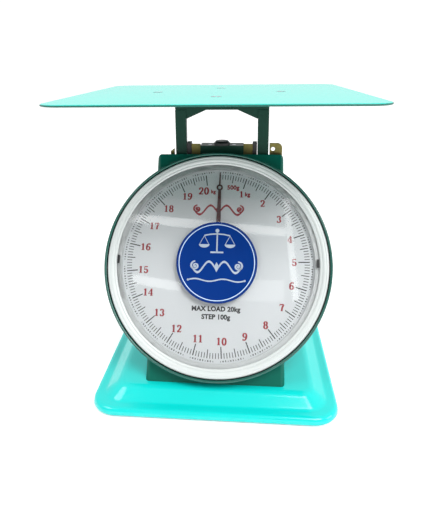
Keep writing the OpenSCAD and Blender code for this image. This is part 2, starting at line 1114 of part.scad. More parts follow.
module post() {
    wall = 1.6;
    low = tie_z;
    difference() {
        translate([-post_width / 2, -post_depth / 2, low])
            cube([post_width, post_depth, yoke_z - low]);
        translate([-post_width / 2 + wall, -post_depth / 2 + wall, low - over])
            cube([post_width - 2 * wall, post_depth, yoke_z - low - 4]);
    }
}

module post_left() {
    color(shaded_enamel)
        difference() {
            translate([column_x - post_window / 2 - post_width / 2, column_y, 0])
                post();
            tie_screw_holes();
            stud_holes();
        }
}

module post_right() {
    color(shaded_enamel)
        difference() {
            translate([column_x + post_window / 2 + post_width / 2, column_y, 0])
                post();
            tie_screw_holes();
            stud_holes();
        }
}

module tie_bar() {
    color(steel)
        difference() {
            translate([column_x - post_window / 2, column_y - post_depth / 2, tie_z])
                cube([post_window, post_depth, tie_h]);
            spring_places()
                translate([0, 0, tie_z - over])
                    cylinder(d = hanger_d, h = tie_h + 2 * over);
            tie_screw_holes();
        }
}

drive_tab = 9;
module drive_arm() {
    slot_run = rack_travel * lean_sin;
    end_gap = 1;
    rim = 2.6;
    rise_depth = 10;
    slot_h = pin_d + 0.2;
    height = slot_h + 2 * rim;
    front = pin_y() - slot_run - end_gap;
    color(steel)
        difference() {
            union() {
                translate([drive_x, front, pin_z() - height / 2])
                    cube([drive_t, column_y - post_depth / 2 - front, height]);
                translate([drive_x + drive_t / 2, front, pin_z()])
                    along_x(height, drive_t);
                translate([drive_x, column_y - post_depth / 2 - drive_t, tie_z])
                    cube([drive_tab, drive_t, tie_h]);
                translate([drive_x, column_y - post_depth / 2 - rise_depth, tie_z])
                    cube([drive_t, rise_depth, pin_z() - tie_z]);
            }
            translate([drive_x - over, front, pin_z() - slot_h / 2])
                cube([drive_t + 2 * over, slot_run + 2 * end_gap, slot_h]);
            for (y = [front, pin_y() + end_gap])
                translate([drive_x, y, pin_z()])
                    along_x(slot_h, 4 * drive_t);
            tie_screw_holes();
        }
}

module drive_screw_place() {
    translate([drive_x + drive_tab - 3.6, column_y - post_depth / 2 - drive_t, tie_z + tie_h / 2])
        rotate([90, 0, 0])
            children();
}

module post_screw_places() {
    for (side = [-1, 1])
        translate([column_x + side * (post_window / 2 + post_width), column_y, tie_z + tie_h / 2])
            rotate([0, side * 90, 0])
                children();
}

module tie_screw_holes() {
    drive_screw_place()
        cylinder(d = panel_screw_d + 2 * hole_gap, h = 12, center = true);
    post_screw_places()
        cylinder(d = frame_screw_d + 2 * hole_gap, h = 2 * post_width + 12, center = true);
}

module tie_screws() {
    color(steel) {
        post_screw_places()
            dome_screw(frame_screw_d, 6, 2, post_width + 4);
        drive_screw_place()
            dome_screw(panel_screw_d, 5.6, 2, drive_t + 3);
    }
}

module spring_anchors() {
    color(steel)
        spring_places()
            translate([0, 0, anchor_eye_z])
                mirror([0, 0, 1])
                    eye_bolt(anchor_eye_z - eye_r - tie_z);
}

// Height of a link's outer end at no load, above its rod
link_rise = load_travel / 2;
link_run = sqrt(link_length * link_length - link_rise * link_rise);
stud_y = column_y + link_length - link_run;
stud_inner = link_inner - 1;
stud_length = post_window / 2 + 1.6 - stud_inner;
module stud_places() {
    for (side = [-1, 1], z = [upper_link_z, lower_link_z])
        translate([column_x + side * (stud_inner + stud_length / 2), stud_y, z + link_rise])
            children();
}

module link_studs() {
    color(steel)
        stud_places()
            along_x(rod_d, stud_length);
}

module stud_holes() {
    stud_places()
        along_x(rod_d, 2 * stud_length);
}

// ---- Springs and links ----

loop_r = 4;
stem_h = 4.8;
loop_rise = stem_h + loop_r;
eye_to_loop = loop_r + eye_r - (wire_d + eye_wire) / 2 - 0.1;
spring_low = anchor_eye_z + eye_to_loop + loop_rise;
spring_high = hanger_eye_z - eye_to_loop - loop_rise;
ring_points = 6;
steps_per_turn = 12;

// Angle at which the coil meets the arm of its end loop
end_angle = asin((wire_d / 2 + 0.05) / (coil_r - wire_d / 2));

// Point of ring i of the coil, at angle b round the wire
function coil_point(i, b) =
    let (rings = coil_turns * steps_per_turn,
         a = end_angle + i * (360 * coil_turns - 2 * end_angle) / rings,
         r = coil_r + cos(b) * wire_d / 2,
         z = i / rings * (spring_high - spring_low))
    [r * cos(a), r * sin(a), z + sin(b) * wire_d / 2];

module coil() {
    rings = coil_turns * steps_per_turn;
    polyhedron(
        points = [for (i = [0 : rings], j = [0 : ring_points - 1]) coil_point(i, j * 360 / ring_points)],
        faces = concat(
            [[for (j = [ring_points - 1 : -1 : 0]) j]],
            [[for (j = [0 : ring_points - 1]) rings * ring_points + j]],
            [for (i = [0 : rings - 1], j = [0 : ring_points - 1])
                [i * ring_points + (j + 1) % ring_points, (i + 1) * ring_points + j,
                 i * ring_points + j]],
            [for (i = [0 : rings - 1], j = [0 : ring_points - 1])
                [i * ring_points + (j + 1) % ring_points, (i + 1) * ring_points + (j + 1) % ring_points,
                 (i + 1) * ring_points + j]]));
}

// The loop at a spring's end, with its arm to the coil; it opens upward.
module spring_end() {
    stem_d = 0.9 * wire_d;
    translate([coil_r + wire_d / 2, 0, 0])
        rotate([0, -90, 0])
            cylinder(d = wire_d, h = coil_r + wire_d);
    cylinder(d = stem_d, h = stem_h + wire_d / 4);
    translate([0, 0, loop_rise])
        rotate([90, 0, 0])
            rotate_extrude()
                translate([loop_r, 0])
                    circle(d = wire_d, $fn = 32);
}

module spring_left() {
    color(steel)
        translate([column_x - spring_offset, spring_y, spring_low])
            coil();
}

module spring_right() {
    color(steel)
        translate([column_x + spring_offset, spring_y, spring_low])
            coil();
}

module spring_upper_loops() {
    color(steel)
        spring_places()
            translate([0, 0, spring_high])
                spring_end();
}

module spring_lower_loops() {
    color(steel)
        spring_places()
            translate([0, 0, spring_low])
                mirror([0, 0, 1])
                    spring_end();
}

// A link: two arms on one rod that turns in the side frames, swung up to the column's studs
module link_piece() {
    arm_h = 12;
    slope = asin(link_rise / link_length);
    along_x(rod_d, 2 * (link_inner + link_t) + 3);
    rotate([-slope, 0, 0])
        for (side = [0, 1])
            mirror([side, 0, 0])
                difference() {
                    union() {
                        translate([link_inner, -link_length, -arm_h / 2])
                            cube([link_t, link_length, arm_h]);
                        for (y = [0, -link_length])
                            translate([link_inner + link_t / 2, y, 0])
                                along_x(arm_h, link_t);
                    }
                    translate([link_inner, -link_length, 0])
                        along_x(rod_d + 2 * link_gap, 4 * link_t);
                }
}

module upper_link() {
    color(zinc)
        translate([column_x, column_y + link_length, upper_link_z])
            link_piece();
}

module lower_link() {
    color(zinc)
        translate([column_x, column_y + link_length, lower_link_z])
            link_piece();
}

base_pan();
bottom_plate();
rubber_feet();
foot_screws();
front_panel();
side_panel_left();
side_panel_right();
rear_cover();
panel_screws();
cover_screws();
frame_left();
frame_right();
frame_screws();
frame_spacers();
spring_beam();
spring_hangers();
beam_screws();
zero_knob();
post_guides();
guide_bracket();
transit_bracket();
overload_buffers();
dial_drum();
drum_screws();
dial_face();
face_screws();
lens_spacer();
lens();
lens_clips();
bezel_ring();
centre_disc();
disc_rivet();
movement_front_plate();
movement_rear_plate();
movement_pillars();
arbor_bushes();
rack_guide();
arbor();
pinion();
pointer_hub();
pointer();
rack();
rack_pin();
platform();
platform_screws();
platform_spider();
yoke_head();
post_left();
post_right();
tie_bar();
drive_arm();
tie_screws();
spring_anchors();
link_studs();
spring_left();
spring_right();
spring_upper_loops();
spring_lower_loops();
upper_link();
lower_link();
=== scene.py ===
"""Visual model of a mechanical dial platform scale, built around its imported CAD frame."""

import json
import logging
import math
from dataclasses import dataclass, field
from enum import Enum
from typing import Optional, Sequence

import bmesh
import bpy
from mathutils import Matrix, Vector


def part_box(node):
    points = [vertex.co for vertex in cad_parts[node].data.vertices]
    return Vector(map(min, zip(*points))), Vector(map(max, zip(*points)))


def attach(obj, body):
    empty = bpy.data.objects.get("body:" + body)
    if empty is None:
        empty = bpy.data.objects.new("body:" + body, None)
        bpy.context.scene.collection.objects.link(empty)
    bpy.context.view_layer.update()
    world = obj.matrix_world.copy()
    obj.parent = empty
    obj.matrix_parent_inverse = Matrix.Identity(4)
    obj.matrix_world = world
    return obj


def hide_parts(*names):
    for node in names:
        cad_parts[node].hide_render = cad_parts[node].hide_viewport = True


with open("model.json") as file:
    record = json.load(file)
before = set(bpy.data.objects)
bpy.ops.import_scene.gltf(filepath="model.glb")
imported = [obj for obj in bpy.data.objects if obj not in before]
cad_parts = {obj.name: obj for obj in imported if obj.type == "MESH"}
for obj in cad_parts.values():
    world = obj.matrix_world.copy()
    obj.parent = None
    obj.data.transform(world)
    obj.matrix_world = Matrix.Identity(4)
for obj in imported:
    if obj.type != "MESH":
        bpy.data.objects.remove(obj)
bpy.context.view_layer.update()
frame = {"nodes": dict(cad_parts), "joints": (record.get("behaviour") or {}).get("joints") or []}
LOG = logging.getLogger("dial_scale")
MM = 0.001
# Height of a capital in the built-in font, as a share of its size, and half of a text's thickness.
FONT_CAP_HEIGHT = 0.73
PRINT_HALF_THICKNESS = 0.01
# Sockets of a colour Mix node, which have the same names as its hidden number sockets.
MIX_SHARE, MIX_FIRST, MIX_SECOND, MIX_RESULT = 0, 6, 7, 2
Outline = list[tuple[float, float]]
Profile = list[tuple[float, float]]


# ---------------------------------------------------------------- shared helpers


def linear(code: str, alpha: float = 1.0) -> tuple[float, float, float, float]:
    """Turn an sRGB hex colour to linear values.

    Args:
        code: Six hex digits, with or without a leading hash.
        alpha: Opacity of the colour.

    Returns:
        Linear red, green, blue and the given alpha.
    """
    digits = code.lstrip("#")
    channels = [int(digits[i : i + 2], 16) / 255 for i in (0, 2, 4)]
    red, green, blue = (c / 12.92 if c <= 0.04045 else ((c + 0.055) / 1.055) ** 2.4 for c in channels)
    return red, green, blue, alpha


def add_node(
    owner: bpy.types.Material | bpy.types.World,
    kind: str,
    settings: Optional[dict[str | int, object]] = None,
    links: Optional[dict[str | int, bpy.types.NodeSocket]] = None,
) -> bpy.types.Node:
    """Add one shader node with its settings and the links into it.

    Args:
        owner: The material or world that gets the node.
        kind: Blender's name of the node type, less its "ShaderNode" prefix.
        settings: Properties of the node, or defaults of its inputs, by name or index.
        links: Sockets to join to the node's inputs, by input name or index.

    Returns:
        The new node.
    """
    tree = owner.node_tree
    node = tree.nodes.new("ShaderNode" + kind)
    for name, value in (settings or {}).items():
        if isinstance(name, str) and hasattr(node, name):
            setattr(node, name, value)
        else:
            node.inputs[name].default_value = value
    for name, socket in (links or {}).items():
        tree.links.new(socket, node.inputs[name])
    return node


def blank_material(name: str) -> tuple[bpy.types.Material, bpy.types.NodeSocket]:
    """Start a material.

    Args:
        name: Name of the material.

    Returns:
        The material with no nodes but its object coordinates, and their socket.
    """
    mat = bpy.data.materials.new(name)
    mat.use_nodes = True
    mat.node_tree.nodes.clear()
    return mat, add_node(mat, "TexCoord").outputs["Object"]


def noise(
    mat: bpy.types.Material, place: bpy.types.NodeSocket, scale: float, detail: float
) -> bpy.types.NodeSocket:
    """Add a noise pattern.

    Args:
        mat: The material.
        place: Coordinates of the pattern.
        scale: Spots in a metre.
        detail: Octaves of finer noise.

    Returns:
        The pattern's value socket.
    """
    return add_node(mat, "TexNoise", {"Scale": scale, "Detail": detail}, {"Vector": place}).outputs["Fac"]


def ranged(
    mat: bpy.types.Material | bpy.types.World,
    value: bpy.types.NodeSocket,
    source: tuple[float, float],
    target: tuple[float, float],
) -> bpy.types.NodeSocket:
    """Map a value from one range to another.

    Args:
        mat: The material or world.
        value: The value's socket.
        source: Ends of the range it comes from.
        target: Ends of the range it goes to.

    Returns:
        The mapped value's socket.
    """
    ends = {"From Min": source[0], "From Max": source[1], "To Min": target[0], "To Max": target[1]}
    return add_node(mat, "MapRange", ends, {"Value": value}).outputs["Result"]


def blended(
    mat: bpy.types.Material, share: bpy.types.NodeSocket, first: str | bpy.types.NodeSocket, second: str
) -> bpy.types.NodeSocket:
    """Blend two colours by a pattern.

    Args:
        mat: The material.
        share: Socket with the second colour's share.
        first: Hex code of the first colour, or a socket that carries it.
        second: Hex code of the second colour.

    Returns:
        The blended colour's socket.
    """
    mix = add_node(mat, "Mix", {"data_type": "RGBA"}, {MIX_SHARE: share})
    if isinstance(first, str):
        mix.inputs[MIX_FIRST].default_value = linear(first)
    else:
        mat.node_tree.links.new(first, mix.inputs[MIX_FIRST])
    mix.inputs[MIX_SECOND].default_value = linear(second)
    return mix.outputs[MIX_RESULT]


def bumped(
    mat: bpy.types.Material, height: bpy.types.NodeSocket, strength: float, reach_mm: float
) -> bpy.types.NodeSocket:
    """Turn a pattern to a relief.

    Args:
        mat: The material.
        height: The pattern's socket.
        strength: Strength of the relief.
        reach_mm: Its height in millimetres.

    Returns:
        The relief's normal socket.
    """
    settings = {"Strength": strength, "Distance": reach_mm * MM}
    return add_node(mat, "Bump", settings, {"Height": height}).outputs["Normal"]


def surfaced(
    mat: bpy.types.Material,
    settings: dict[str, float],
    colour: bpy.types.NodeSocket,
    roughness: bpy.types.NodeSocket,
    normal: bpy.types.NodeSocket,
) -> bpy.types.Material:
    """Close a material with its surface shader.

    Args:
        mat: The material.
        settings: Uniform settings of the shader.
        colour: Socket of its colour.
        roughness: Socket of its roughness.
        normal: Socket of its relief.

    Returns:
        The finished material.
    """
    inputs = {"Base Color": colour, "Roughness": roughness, "Normal": normal}
    shader = add_node(mat, "BsdfPrincipled", settings, inputs)
    add_node(mat, "OutputMaterial", links={"Surface": shader.outputs["BSDF"]})
    return mat


def new_mesh(name: str, points: Sequence[Vector], faces: Sequence[Sequence[int]]) -> bpy.types.Object:
    """Make a linked mesh object with consistent outward normals.

    Args:
        name: Name of the piece.
        points: Vertices in metres, in the row frame.
        faces: Vertex indices of each face.

    Returns:
        The new object.
    """
    mesh = bpy.data.meshes.new(name)
    mesh.from_pydata([tuple(p) for p in points], [], [tuple(f) for f in faces])
    tidy = bmesh.new()
    tidy.from_mesh(mesh)
    bmesh.ops.recalc_face_normals(tidy, faces=tidy.faces)
    tidy.to_mesh(mesh)
    tidy.free()
    piece = bpy.data.objects.new(name, mesh)
    bpy.context.scene.collection.objects.link(piece)
    return piece


def smooth(piece: bpy.types.Object, degrees: float = 35.0) -> None:
    """Shade a piece smooth, with sharp edges above an angle.

    Args:
        piece: The mesh object.
        degrees: Angle between faces above which an edge stays sharp.
    """
    piece.data.shade_smooth()
    piece.data.set_sharp_from_angle(angle=math.radians(degrees))


def node_of(name: str) -> bpy.types.Object:
    """Return the CAD object of a node."""
    return frame["nodes"][name]


def joint_of(name: str) -> dict:
    """Return the record's entry of a joint."""
    return next(j for j in frame["joints"] if j["name"] == name)


# ---------------------------------------------------------------- finishes


class Slot(Enum):
    """The record's material slot names; no piece here takes its finish from them."""

    ENAMEL = "enamel"
    PLATFORM = "platform_enamel"
    DIAL_WHITE = "dial_white"
    BEZEL_WHITE = "bezel_white"
    DISC_BLUE = "disc_blue"


@dataclass(frozen=True)
class StoveEnamel:
    """Stoved gloss enamel on pressed steel.

    The eye sees a wet gloss with a faint orange peel, a colour that drifts a little
    over a hand's width, and dull specks of dust and handling.
    """

    name: str
    colour: str
    drift: str
    grime: str
    roughness: float = 0.14
    peel_mm: float = 3.0
    drift_mm: float = 90.0
    speck_mm: float = 2.4
    coat: float = 0.4
    gloss: float = 0.5
    dust: float = 0.15
    peel: float = 0.06
    dulling: float = 0.06

    def build(self) -> bpy.types.Material:
        """Build the enamel's shader.

        Returns:
            The material.
        """
        mat, place = blank_material(self.name)
        tint = blended(mat, noise(mat, place, 1 / (self.drift_mm * MM), 2.0), self.colour, self.drift)
        specks = noise(mat, place, 1 / (self.speck_mm * MM), 4.0)
        colour = blended(mat, ranged(mat, specks, (0.66, 0.85), (0.0, self.dust)), tint, self.grime)
        dull = ranged(mat, specks, (0.3, 0.8), (self.roughness, self.roughness + self.dulling))
        peel = noise(mat, place, 1 / (self.peel_mm * MM), 1.0)
        settings = {
            "IOR": 1.52, "Coat Weight": self.coat, "Coat Roughness": 0.06, "Specular IOR Level": self.gloss
        }
        return surfaced(mat, settings, colour, dull, bumped(mat, peel, self.peel, 0.1))


@dataclass(frozen=True)
class PlatedMetal:
    """Plated, drawn or machined metal.

    The eye sees a soft metal sheen, cloudy patches left by the plating bath, and
    fine drawing lines along one axis.
    """

    name: str
    colour: str
    cloud: str
    roughness: float = 0.32
    cloud_mm: float = 9.0
    line_mm: float = 0.5
    line_stretch: float = 0.06
    metallic: float = 1.0

    def build(self) -> bpy.types.Material:
        """Build the metal's shader.

        Returns:
            The material.
        """
        mat, place = blank_material(self.name)
        tint = blended(mat, noise(mat, place, 1 / (self.cloud_mm * MM), 3.0), self.colour, self.cloud)
        stretch = add_node(mat, "Mapping", {"Scale": (1.0, 1.0, self.line_stretch)}, {"Vector": place})
        lines = noise(mat, stretch.outputs["Vector"], 1 / (self.line_mm * MM), 2.0)
        dull = ranged(mat, lines, (0.3, 0.7), (self.roughness, self.roughness + 0.15))
        return surfaced(mat, {"Metallic": self.metallic}, tint, dull, bumped(mat, lines, 0.15, 0.05))


@dataclass(frozen=True)
class Moulding:
    """Moulded plastic or rubber.

    The eye sees an even colour with a fine mould grain that breaks up the highlight.
    """

    name: str
    colour: str
    drift: str
    roughness: float = 0.4
    grain_mm: float = 0.6
    grain: float = 0.15
    clouds_per_metre: float = 30.0
    coat: float = 0.0
    gloss: float = 0.5

    def build(self) -> bpy.types.Material:
        """Build the plastic's shader.

        Returns:
            The material.
        """
        mat, place = blank_material(self.name)
        tint = blended(mat, noise(mat, place, self.clouds_per_metre, 2.0), self.colour, self.drift)
        grain = noise(mat, place, 1 / (self.grain_mm * MM), 2.0)
        dull = ranged(mat, grain, (0.3, 0.7), (self.roughness, self.roughness + 0.08))
        settings = {
            "IOR": 1.49, "Coat Weight": self.coat, "Coat Roughness": 0.05, "Specular IOR Level": self.gloss
        }
        return surfaced(mat, settings, tint, dull, bumped(mat, grain, self.grain, 0.08))


@dataclass(frozen=True)
class FloatGlass:
    """Clear float glass.

    The eye sees no colour of its own, only a sharp faint reflection with slight smears.
    """

    name: str = "float_glass"
    tint: str = "#FEFFFF"
    ior: float = 1.46
    smears_per_metre: float = 60.0
    roughness: tuple[float, float] = (0.02, 0.05)

    def build(self) -> bpy.types.Material:
        """Build the glass's shader.

        Returns:
            The material.
        """
        mat, place = blank_material(self.name)
        haze = noise(mat, place, self.smears_per_metre, 3.0)
        dull = ranged(mat, haze, (0.3, 0.7), self.roughness)
        fresnel = add_node(mat, "Fresnel", {"IOR": self.ior})
        clear = add_node(mat, "BsdfTransparent", {"Color": linear(self.tint)})
        gloss = add_node(mat, "BsdfGlossy", {"Color": linear("#FFFFFF")}, {"Roughness": dull})
        links = {0: fresnel.outputs["Fac"], 1: clear.outputs["BSDF"], 2: gloss.outputs["BSDF"]}
        both = add_node(mat, "MixShader", links=links)
        add_node(mat, "OutputMaterial", links={"Surface": both.outputs["Shader"]})
        return mat


class Finishes:
    """Every finish on the scale, built once and handed out by name."""

    def __init__(self) -> None:
        """Build all the materials."""
        kinds = [
            # Wet bright stove enamel of the base.
            StoveEnamel(
                "turquoise_stove_enamel", "#06C6C0", "#0CCEC8", "#09ACA6", coat=0.1, gloss=0.4, dust=0.1
            ),
            # The same paint on the platform, rubbed smooth, so that its sheen is even.
            StoveEnamel(
                "pale_turquoise_platform_enamel", "#10C2B4", "#14C8BB", "#0EAFA2",
                roughness=0.22, coat=0.0, gloss=0.26, dust=0.03, peel=0.012, dulling=0.0,
            ),
            # Painted shade: the casing and the inner parts take the turquoise enamel darkened for the shadow
            # under the platform, with a dull, broad sheen.
            StoveEnamel(
                "shade_darkened_teal_enamel", "#04584A", "#056152", "#033C32", roughness=0.34, coat=0.0, gloss=0.16
            ),
            # Painted shade on the posts, the spider, the yoke head and the spring beam: a darker green for
            # the shadow under the platform.
            StoveEnamel(
                "shade_darkened_green_enamel", "#043226", "#063C2E", "#021E17", roughness=0.38, coat=0.0, gloss=0.16
            ),
            # Painted shade on the platform's edge and underside: the same paint darkened for the shadow
            # there, flat and dark.
            StoveEnamel(
                "painted_shade_lip_enamel", "#14564B", "#186054", "#0C3A32", roughness=0.35, coat=0.0, gloss=0.3
            ),
            # The drum's deep gloss, which mirrors the studio in its rolled lip.
            StoveEnamel(
                "bottle_green_gloss_enamel", "#0B4A40", "#0D554A", "#07332C", roughness=0.2, coat=0.3
            ),
            # Plated and turned metals: clouded by the bath, or lined by the tool.
            PlatedMetal("bright_zinc_plate", "#C4C8CC", "#A9AEB4"),
            # Yellow zinc darkened to olive for the shadow under the platform: painted shade.
            PlatedMetal("shade_darkened_yellow_zinc", "#7E7440", "#646443", roughness=0.4),
            PlatedMetal("turned_brass", "#C9A24A", "#B58C3A", roughness=0.28),
            PlatedMetal("oiled_spring_steel", "#5E6064", "#494B4F", roughness=0.34),
            # Moulded pieces: even in colour, with the mould's grain in the highlight.
            Moulding("black_moulded_rubber", "#141414", "#1C1B1A", roughness=0.6, grain=0.3),
            Moulding("black_acetal", "#121315", "#1A1B1E", roughness=0.38),
            Moulding("white_moulded_abs", "#BEC3C2", "#C6CBCA", roughness=0.26, grain=0.04, coat=0.1),
            Moulding("pale_grey_abs", "#DDE0E0", "#E6E8E8", roughness=0.3, grain=0.05),
            # Lacquered and printed surfaces of the dial: flat colours with little relief.
            Moulding("white_dial_enamel", "#E6E8EA", "#ECEDEF", roughness=0.35, grain=0.04),
            Moulding("blue_gloss_enamel", "#022A70", "#03327C", roughness=0.3, grain=0.04, gloss=0.06),
            Moulding("deep_blue_gloss_enamel", "#0A2C6C", "#0C347A", roughness=0.3, grain=0.04, gloss=0.2),
            Moulding("pale_blue_print", "#B9D0EA", "#C6DAF0", roughness=0.4, grain=0.04),
            PlatedMetal(
                "silver_foil_print", "#B4BECB", "#98A6B8", roughness=0.4, cloud_mm=3.0, metallic=0.4
            ),
            Moulding("dark_red_print", "#9E1A26", "#B02A35", roughness=0.45, grain=0.04),
            Moulding("black_print", "#141416", "#1E1E21", roughness=0.5, grain=0.04),
            Moulding("grey_print", "#5A5C5E", "#6A6C6E", roughness=0.5, grain=0.04),
            Moulding("maroon_lacquer", "#4A0A14", "#560E18", roughness=0.45, grain=0.05),
            FloatGlass(),
        ]
        self._built = {kind.name: kind.build() for kind in kinds}

    def __getitem__(self, name: str) -> bpy.types.Material:
        """Return the material with that name."""
        return self._built[name]

    def dress(self, piece: bpy.types.Object, name: str) -> None:
        """Give a piece one finish all over.

        Args:
            piece: The mesh object; a CAD node's slots are reassigned, its mesh stays.
            name: Name of the finish.
        """
        if not piece.material_slots:
            piece.data.materials.append(self._built[name])
        for each in piece.material_slots:
            each.material = self._built[name]


# ---------------------------------------------------------------- pressed sheet


def rounded_ring(width: float, depth: float, radius: float, z: float, steps: int = 14) -> list[Vector]:
    """Points round a rectangle with round corners.

    Args:
        width: Size along X in millimetres.
        depth: Size along Y.
        radius: Corner radius.
        z: Height of the ring.
        steps: Steps in each corner.

    Returns:
        The ring's points in metres, anticlockwise from the right side's rear corner.
    """
    points = []
    for quarter, (sx, sy) in enumerate(((1, 1), (-1, 1), (-1, -1), (1, -1))):
        for step in range(steps + 1):
            angle = math.radians(90 * (quarter + step / steps))
            x = sx * (width / 2 - radius) + radius * math.cos(angle)
            y = sy * (depth / 2 - radius) + radius * math.sin(angle)
            points.append(Vector((x, y, z)) * MM)
    return points


def bend(
    start: tuple[float, float], corner: tuple[float, float], end: tuple[float, float], steps: int
) -> Profile:
    """Points of a soft bend from start to end, drawn towards a corner.

    Args:
        start: First inset and height.
        corner: The inset and height where the straight runs would meet.
        end: Last inset and height.
        steps: Number of steps in the bend.

    Returns:
        Points from start to end.
    """
    curve = []
    for i in range(steps + 1):
        t = i / steps
        curve.append(
            tuple((1 - t) ** 2 * a + 2 * t * (1 - t) * b + t**2 * c for a, b, c in zip(start, corner, end))
        )
    return curve


def lofted(name: str, rings: Sequence[Sequence[Vector]], closed: bool = False) -> bpy.types.Object:
    """Skin a row of rings that have the same number of points.

    Args:
        name: Name of the piece.
        rings: The rings, from first to last.
        closed: Whether the last ring joins the first; otherwise both end rings are filled.

    Returns:
        The new object.
    """
    count, last = len(rings[0]), len(rings) - 1
    steps = [(r, r + 1) for r in range(last)] + ([(last, 0)] if closed else [])
    faces: list[tuple[int, ...]] = [
        (a * count + i, a * count + (i + 1) % count, b * count + (i + 1) % count, b * count + i)
        for a, b in steps
        for i in range(count)
    ]
    if not closed:
        faces += [tuple(range(count)), tuple(last * count + i for i in range(count))]
    return new_mesh(name, [p for ring in rings for p in ring], faces)


@dataclass
class PressedBase:
    """The stepped base, pressed from one sheet with soft bends."""

    finishes: Finishes
    sheet: float = 1.2
    corner: float = 24.0
    least_corner: float = 4.0
    corner_share: float = 0.6
    ledge_drop: float = 9.0
    hem: float = 1.0

    def build(self) -> bpy.types.Object:
        """Build the pressing in place of the plain CAD one.

        Returns:
            The base piece.
        """
        low, high = (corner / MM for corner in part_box("base_pan"))
        width, depth, bottom, top = high.x - low.x, high.y - low.y, low.z, high.z
        ledge = top - self.ledge_drop
        profile = [(0.3, bottom), (0.0, bottom + 0.6)]
        profile += bend((0.3, ledge - 3.6), (1.0, ledge), (4.8, ledge + 0.1), 8)
        profile += bend((8.4, ledge + 0.2), (10.4, ledge + 0.4), (12.0, ledge + 2.0), 6)
        profile += bend((18.6, top - 3.0), (21.4, top - 0.1), (26.2, top), 8)
        inner = [
            (inset + self.sheet, z - (self.sheet if z > bottom + self.hem else 0)) for inset, z in profile
        ]
        outer_rings = [self._ring(width, depth, inset, z) for inset, z in profile]
        inner_rings = [self._ring(width, depth, inset, max(z, bottom)) for inset, z in inner]
        piece = lofted("base_pressing", inner_rings[::-1] + outer_rings)
        smooth(piece, 50)
        self.finishes.dress(piece, "turquoise_stove_enamel")
        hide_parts("base_pan")
        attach(piece, "housing")
        LOG.info("base pressing: %.0f by %.0f mm", width, depth)
        return piece

    def _ring(self, width: float, depth: float, inset: float, z: float) -> list[Vector]:
        """Return one ring of the pressing, drawn in by an inset, all in millimetres."""
        corner = max(self.corner - inset * self.corner_share, self.least_corner)
        return rounded_ring(width - 2 * inset, depth - 2 * inset, corner, z)


@dataclass
class PlatformTop:
    """The platform: one flat sheet with a soft turned-down edge."""

    finishes: Finishes
    corner: float = 18.0
    least_corner: float = 4.0
    sheet: float = 1.2
    fall: float = 0.12
    overspray: float = 0.45
    shortest_side: float = 150.0

    def build(self) -> bpy.types.Object:
        """Build the platform in place of the plain CAD one.

        Returns:
            The platform piece.
        """
        low, high = (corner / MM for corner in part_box("platform"))
        width, lip, top = 2 * self._reach(), low.z, high.z - self.fall
        under = top - self.sheet
        profile = [(self.sheet + 0.5, under), (self.sheet, under - 0.6), (self.sheet, lip + 0.3)]
        profile += bend((self.sheet - 0.3, lip), (0.8, lip), (0.3, lip + 0.2), 3)
        profile += bend((0.0, lip + 0.6), (0.0, top), (2.4, top), 7)
        turn = Matrix.Rotation(self._turn(), 3, "Z")
        rings = []
        for inset, z in profile:
            side, corner = width - 2 * inset, max(self.corner - inset, self.least_corner)
            rings.append([turn @ p for p in rounded_ring(side, side, corner, z)])
        piece = lofted("platform_top", rings)
        smooth(piece, 50)
        self.finishes.dress(piece, "pale_turquoise_platform_enamel")
        # The edge and the underside take the darker finish: painted shade for the shadow on these faces.
        piece.data.materials.append(self.finishes["painted_shade_lip_enamel"])
        for side in piece.data.polygons:
            if side.center.z < (top - self.overspray) * MM:
                side.material_index = 1
        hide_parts("platform")
        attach(piece, "load_column")
        LOG.info("platform: %.0f mm square", width)
        return piece

    def _turn(self) -> float:
        """Measure the platform's turn about its middle, from one of its straight sides.

        Returns:
            The turn in radians, anticlockwise from above.
        """
        mesh = node_of("platform").data
        places = [v.co for v in mesh.vertices]
        edges = [places[edge.vertices[0]] - places[edge.vertices[1]] for edge in mesh.edges]
        shortest = self.shortest_side * MM
        sides = [edge for edge in edges if edge.length > shortest and abs(edge.x) > abs(edge.y)]
        if not sides:
            return 0.0
        longest = max(sides, key=lambda side: side.length)
        return math.atan(longest.y / longest.x)

    def _reach(self) -> float:
        """Return half the side of the platform's square, in millimetres."""
        back = Matrix.Rotation(-self._turn(), 3, "Z")
        return max((back @ v.co).x for v in node_of("platform").data.vertices) / MM


# ---------------------------------------------------------------- dial


@dataclass
class DialFrame:
    """The dial's own frame: x to the right, y up the dial, z out of its face."""

    matrix: Matrix = field(init=False)

    def __post_init__(self) -> None:
        """Set the frame from the pointer's joint."""
        joint = joint_of("pointer_spin")
        out = -Vector(joint["axis"]).normalized()
        right = Vector((1, 0, 0))
        up = out.cross(right)
        turn = Matrix((right, up, out)).transposed().to_4x4()
        self.matrix = Matrix.Translation(Vector(joint["pos_m"])) @ turn

    def point(self, x: float, y: float, z: float) -> Vector:
        """Return the row-frame place of a point given in millimetres on the dial."""
        return self.matrix @ Vector((x * MM, y * MM, z * MM))

    def places(self, node: str) -> list[Vector]:
        """Return the places of a CAD node's vertices on the dial, in millimetres."""
        inverse = self.matrix.inverted()
        return [inverse @ v.co / MM for v in node_of(node).data.vertices]

    def rings(self, profile: Profile, steps: int) -> list[list[Vector]]:
        """Return the rings that a profile of radii and levels sweeps round the dial's axis."""
        return [[self.point(x, y, z) for x, y in circle(0, 0, radius, steps)] for radius, z in profile]


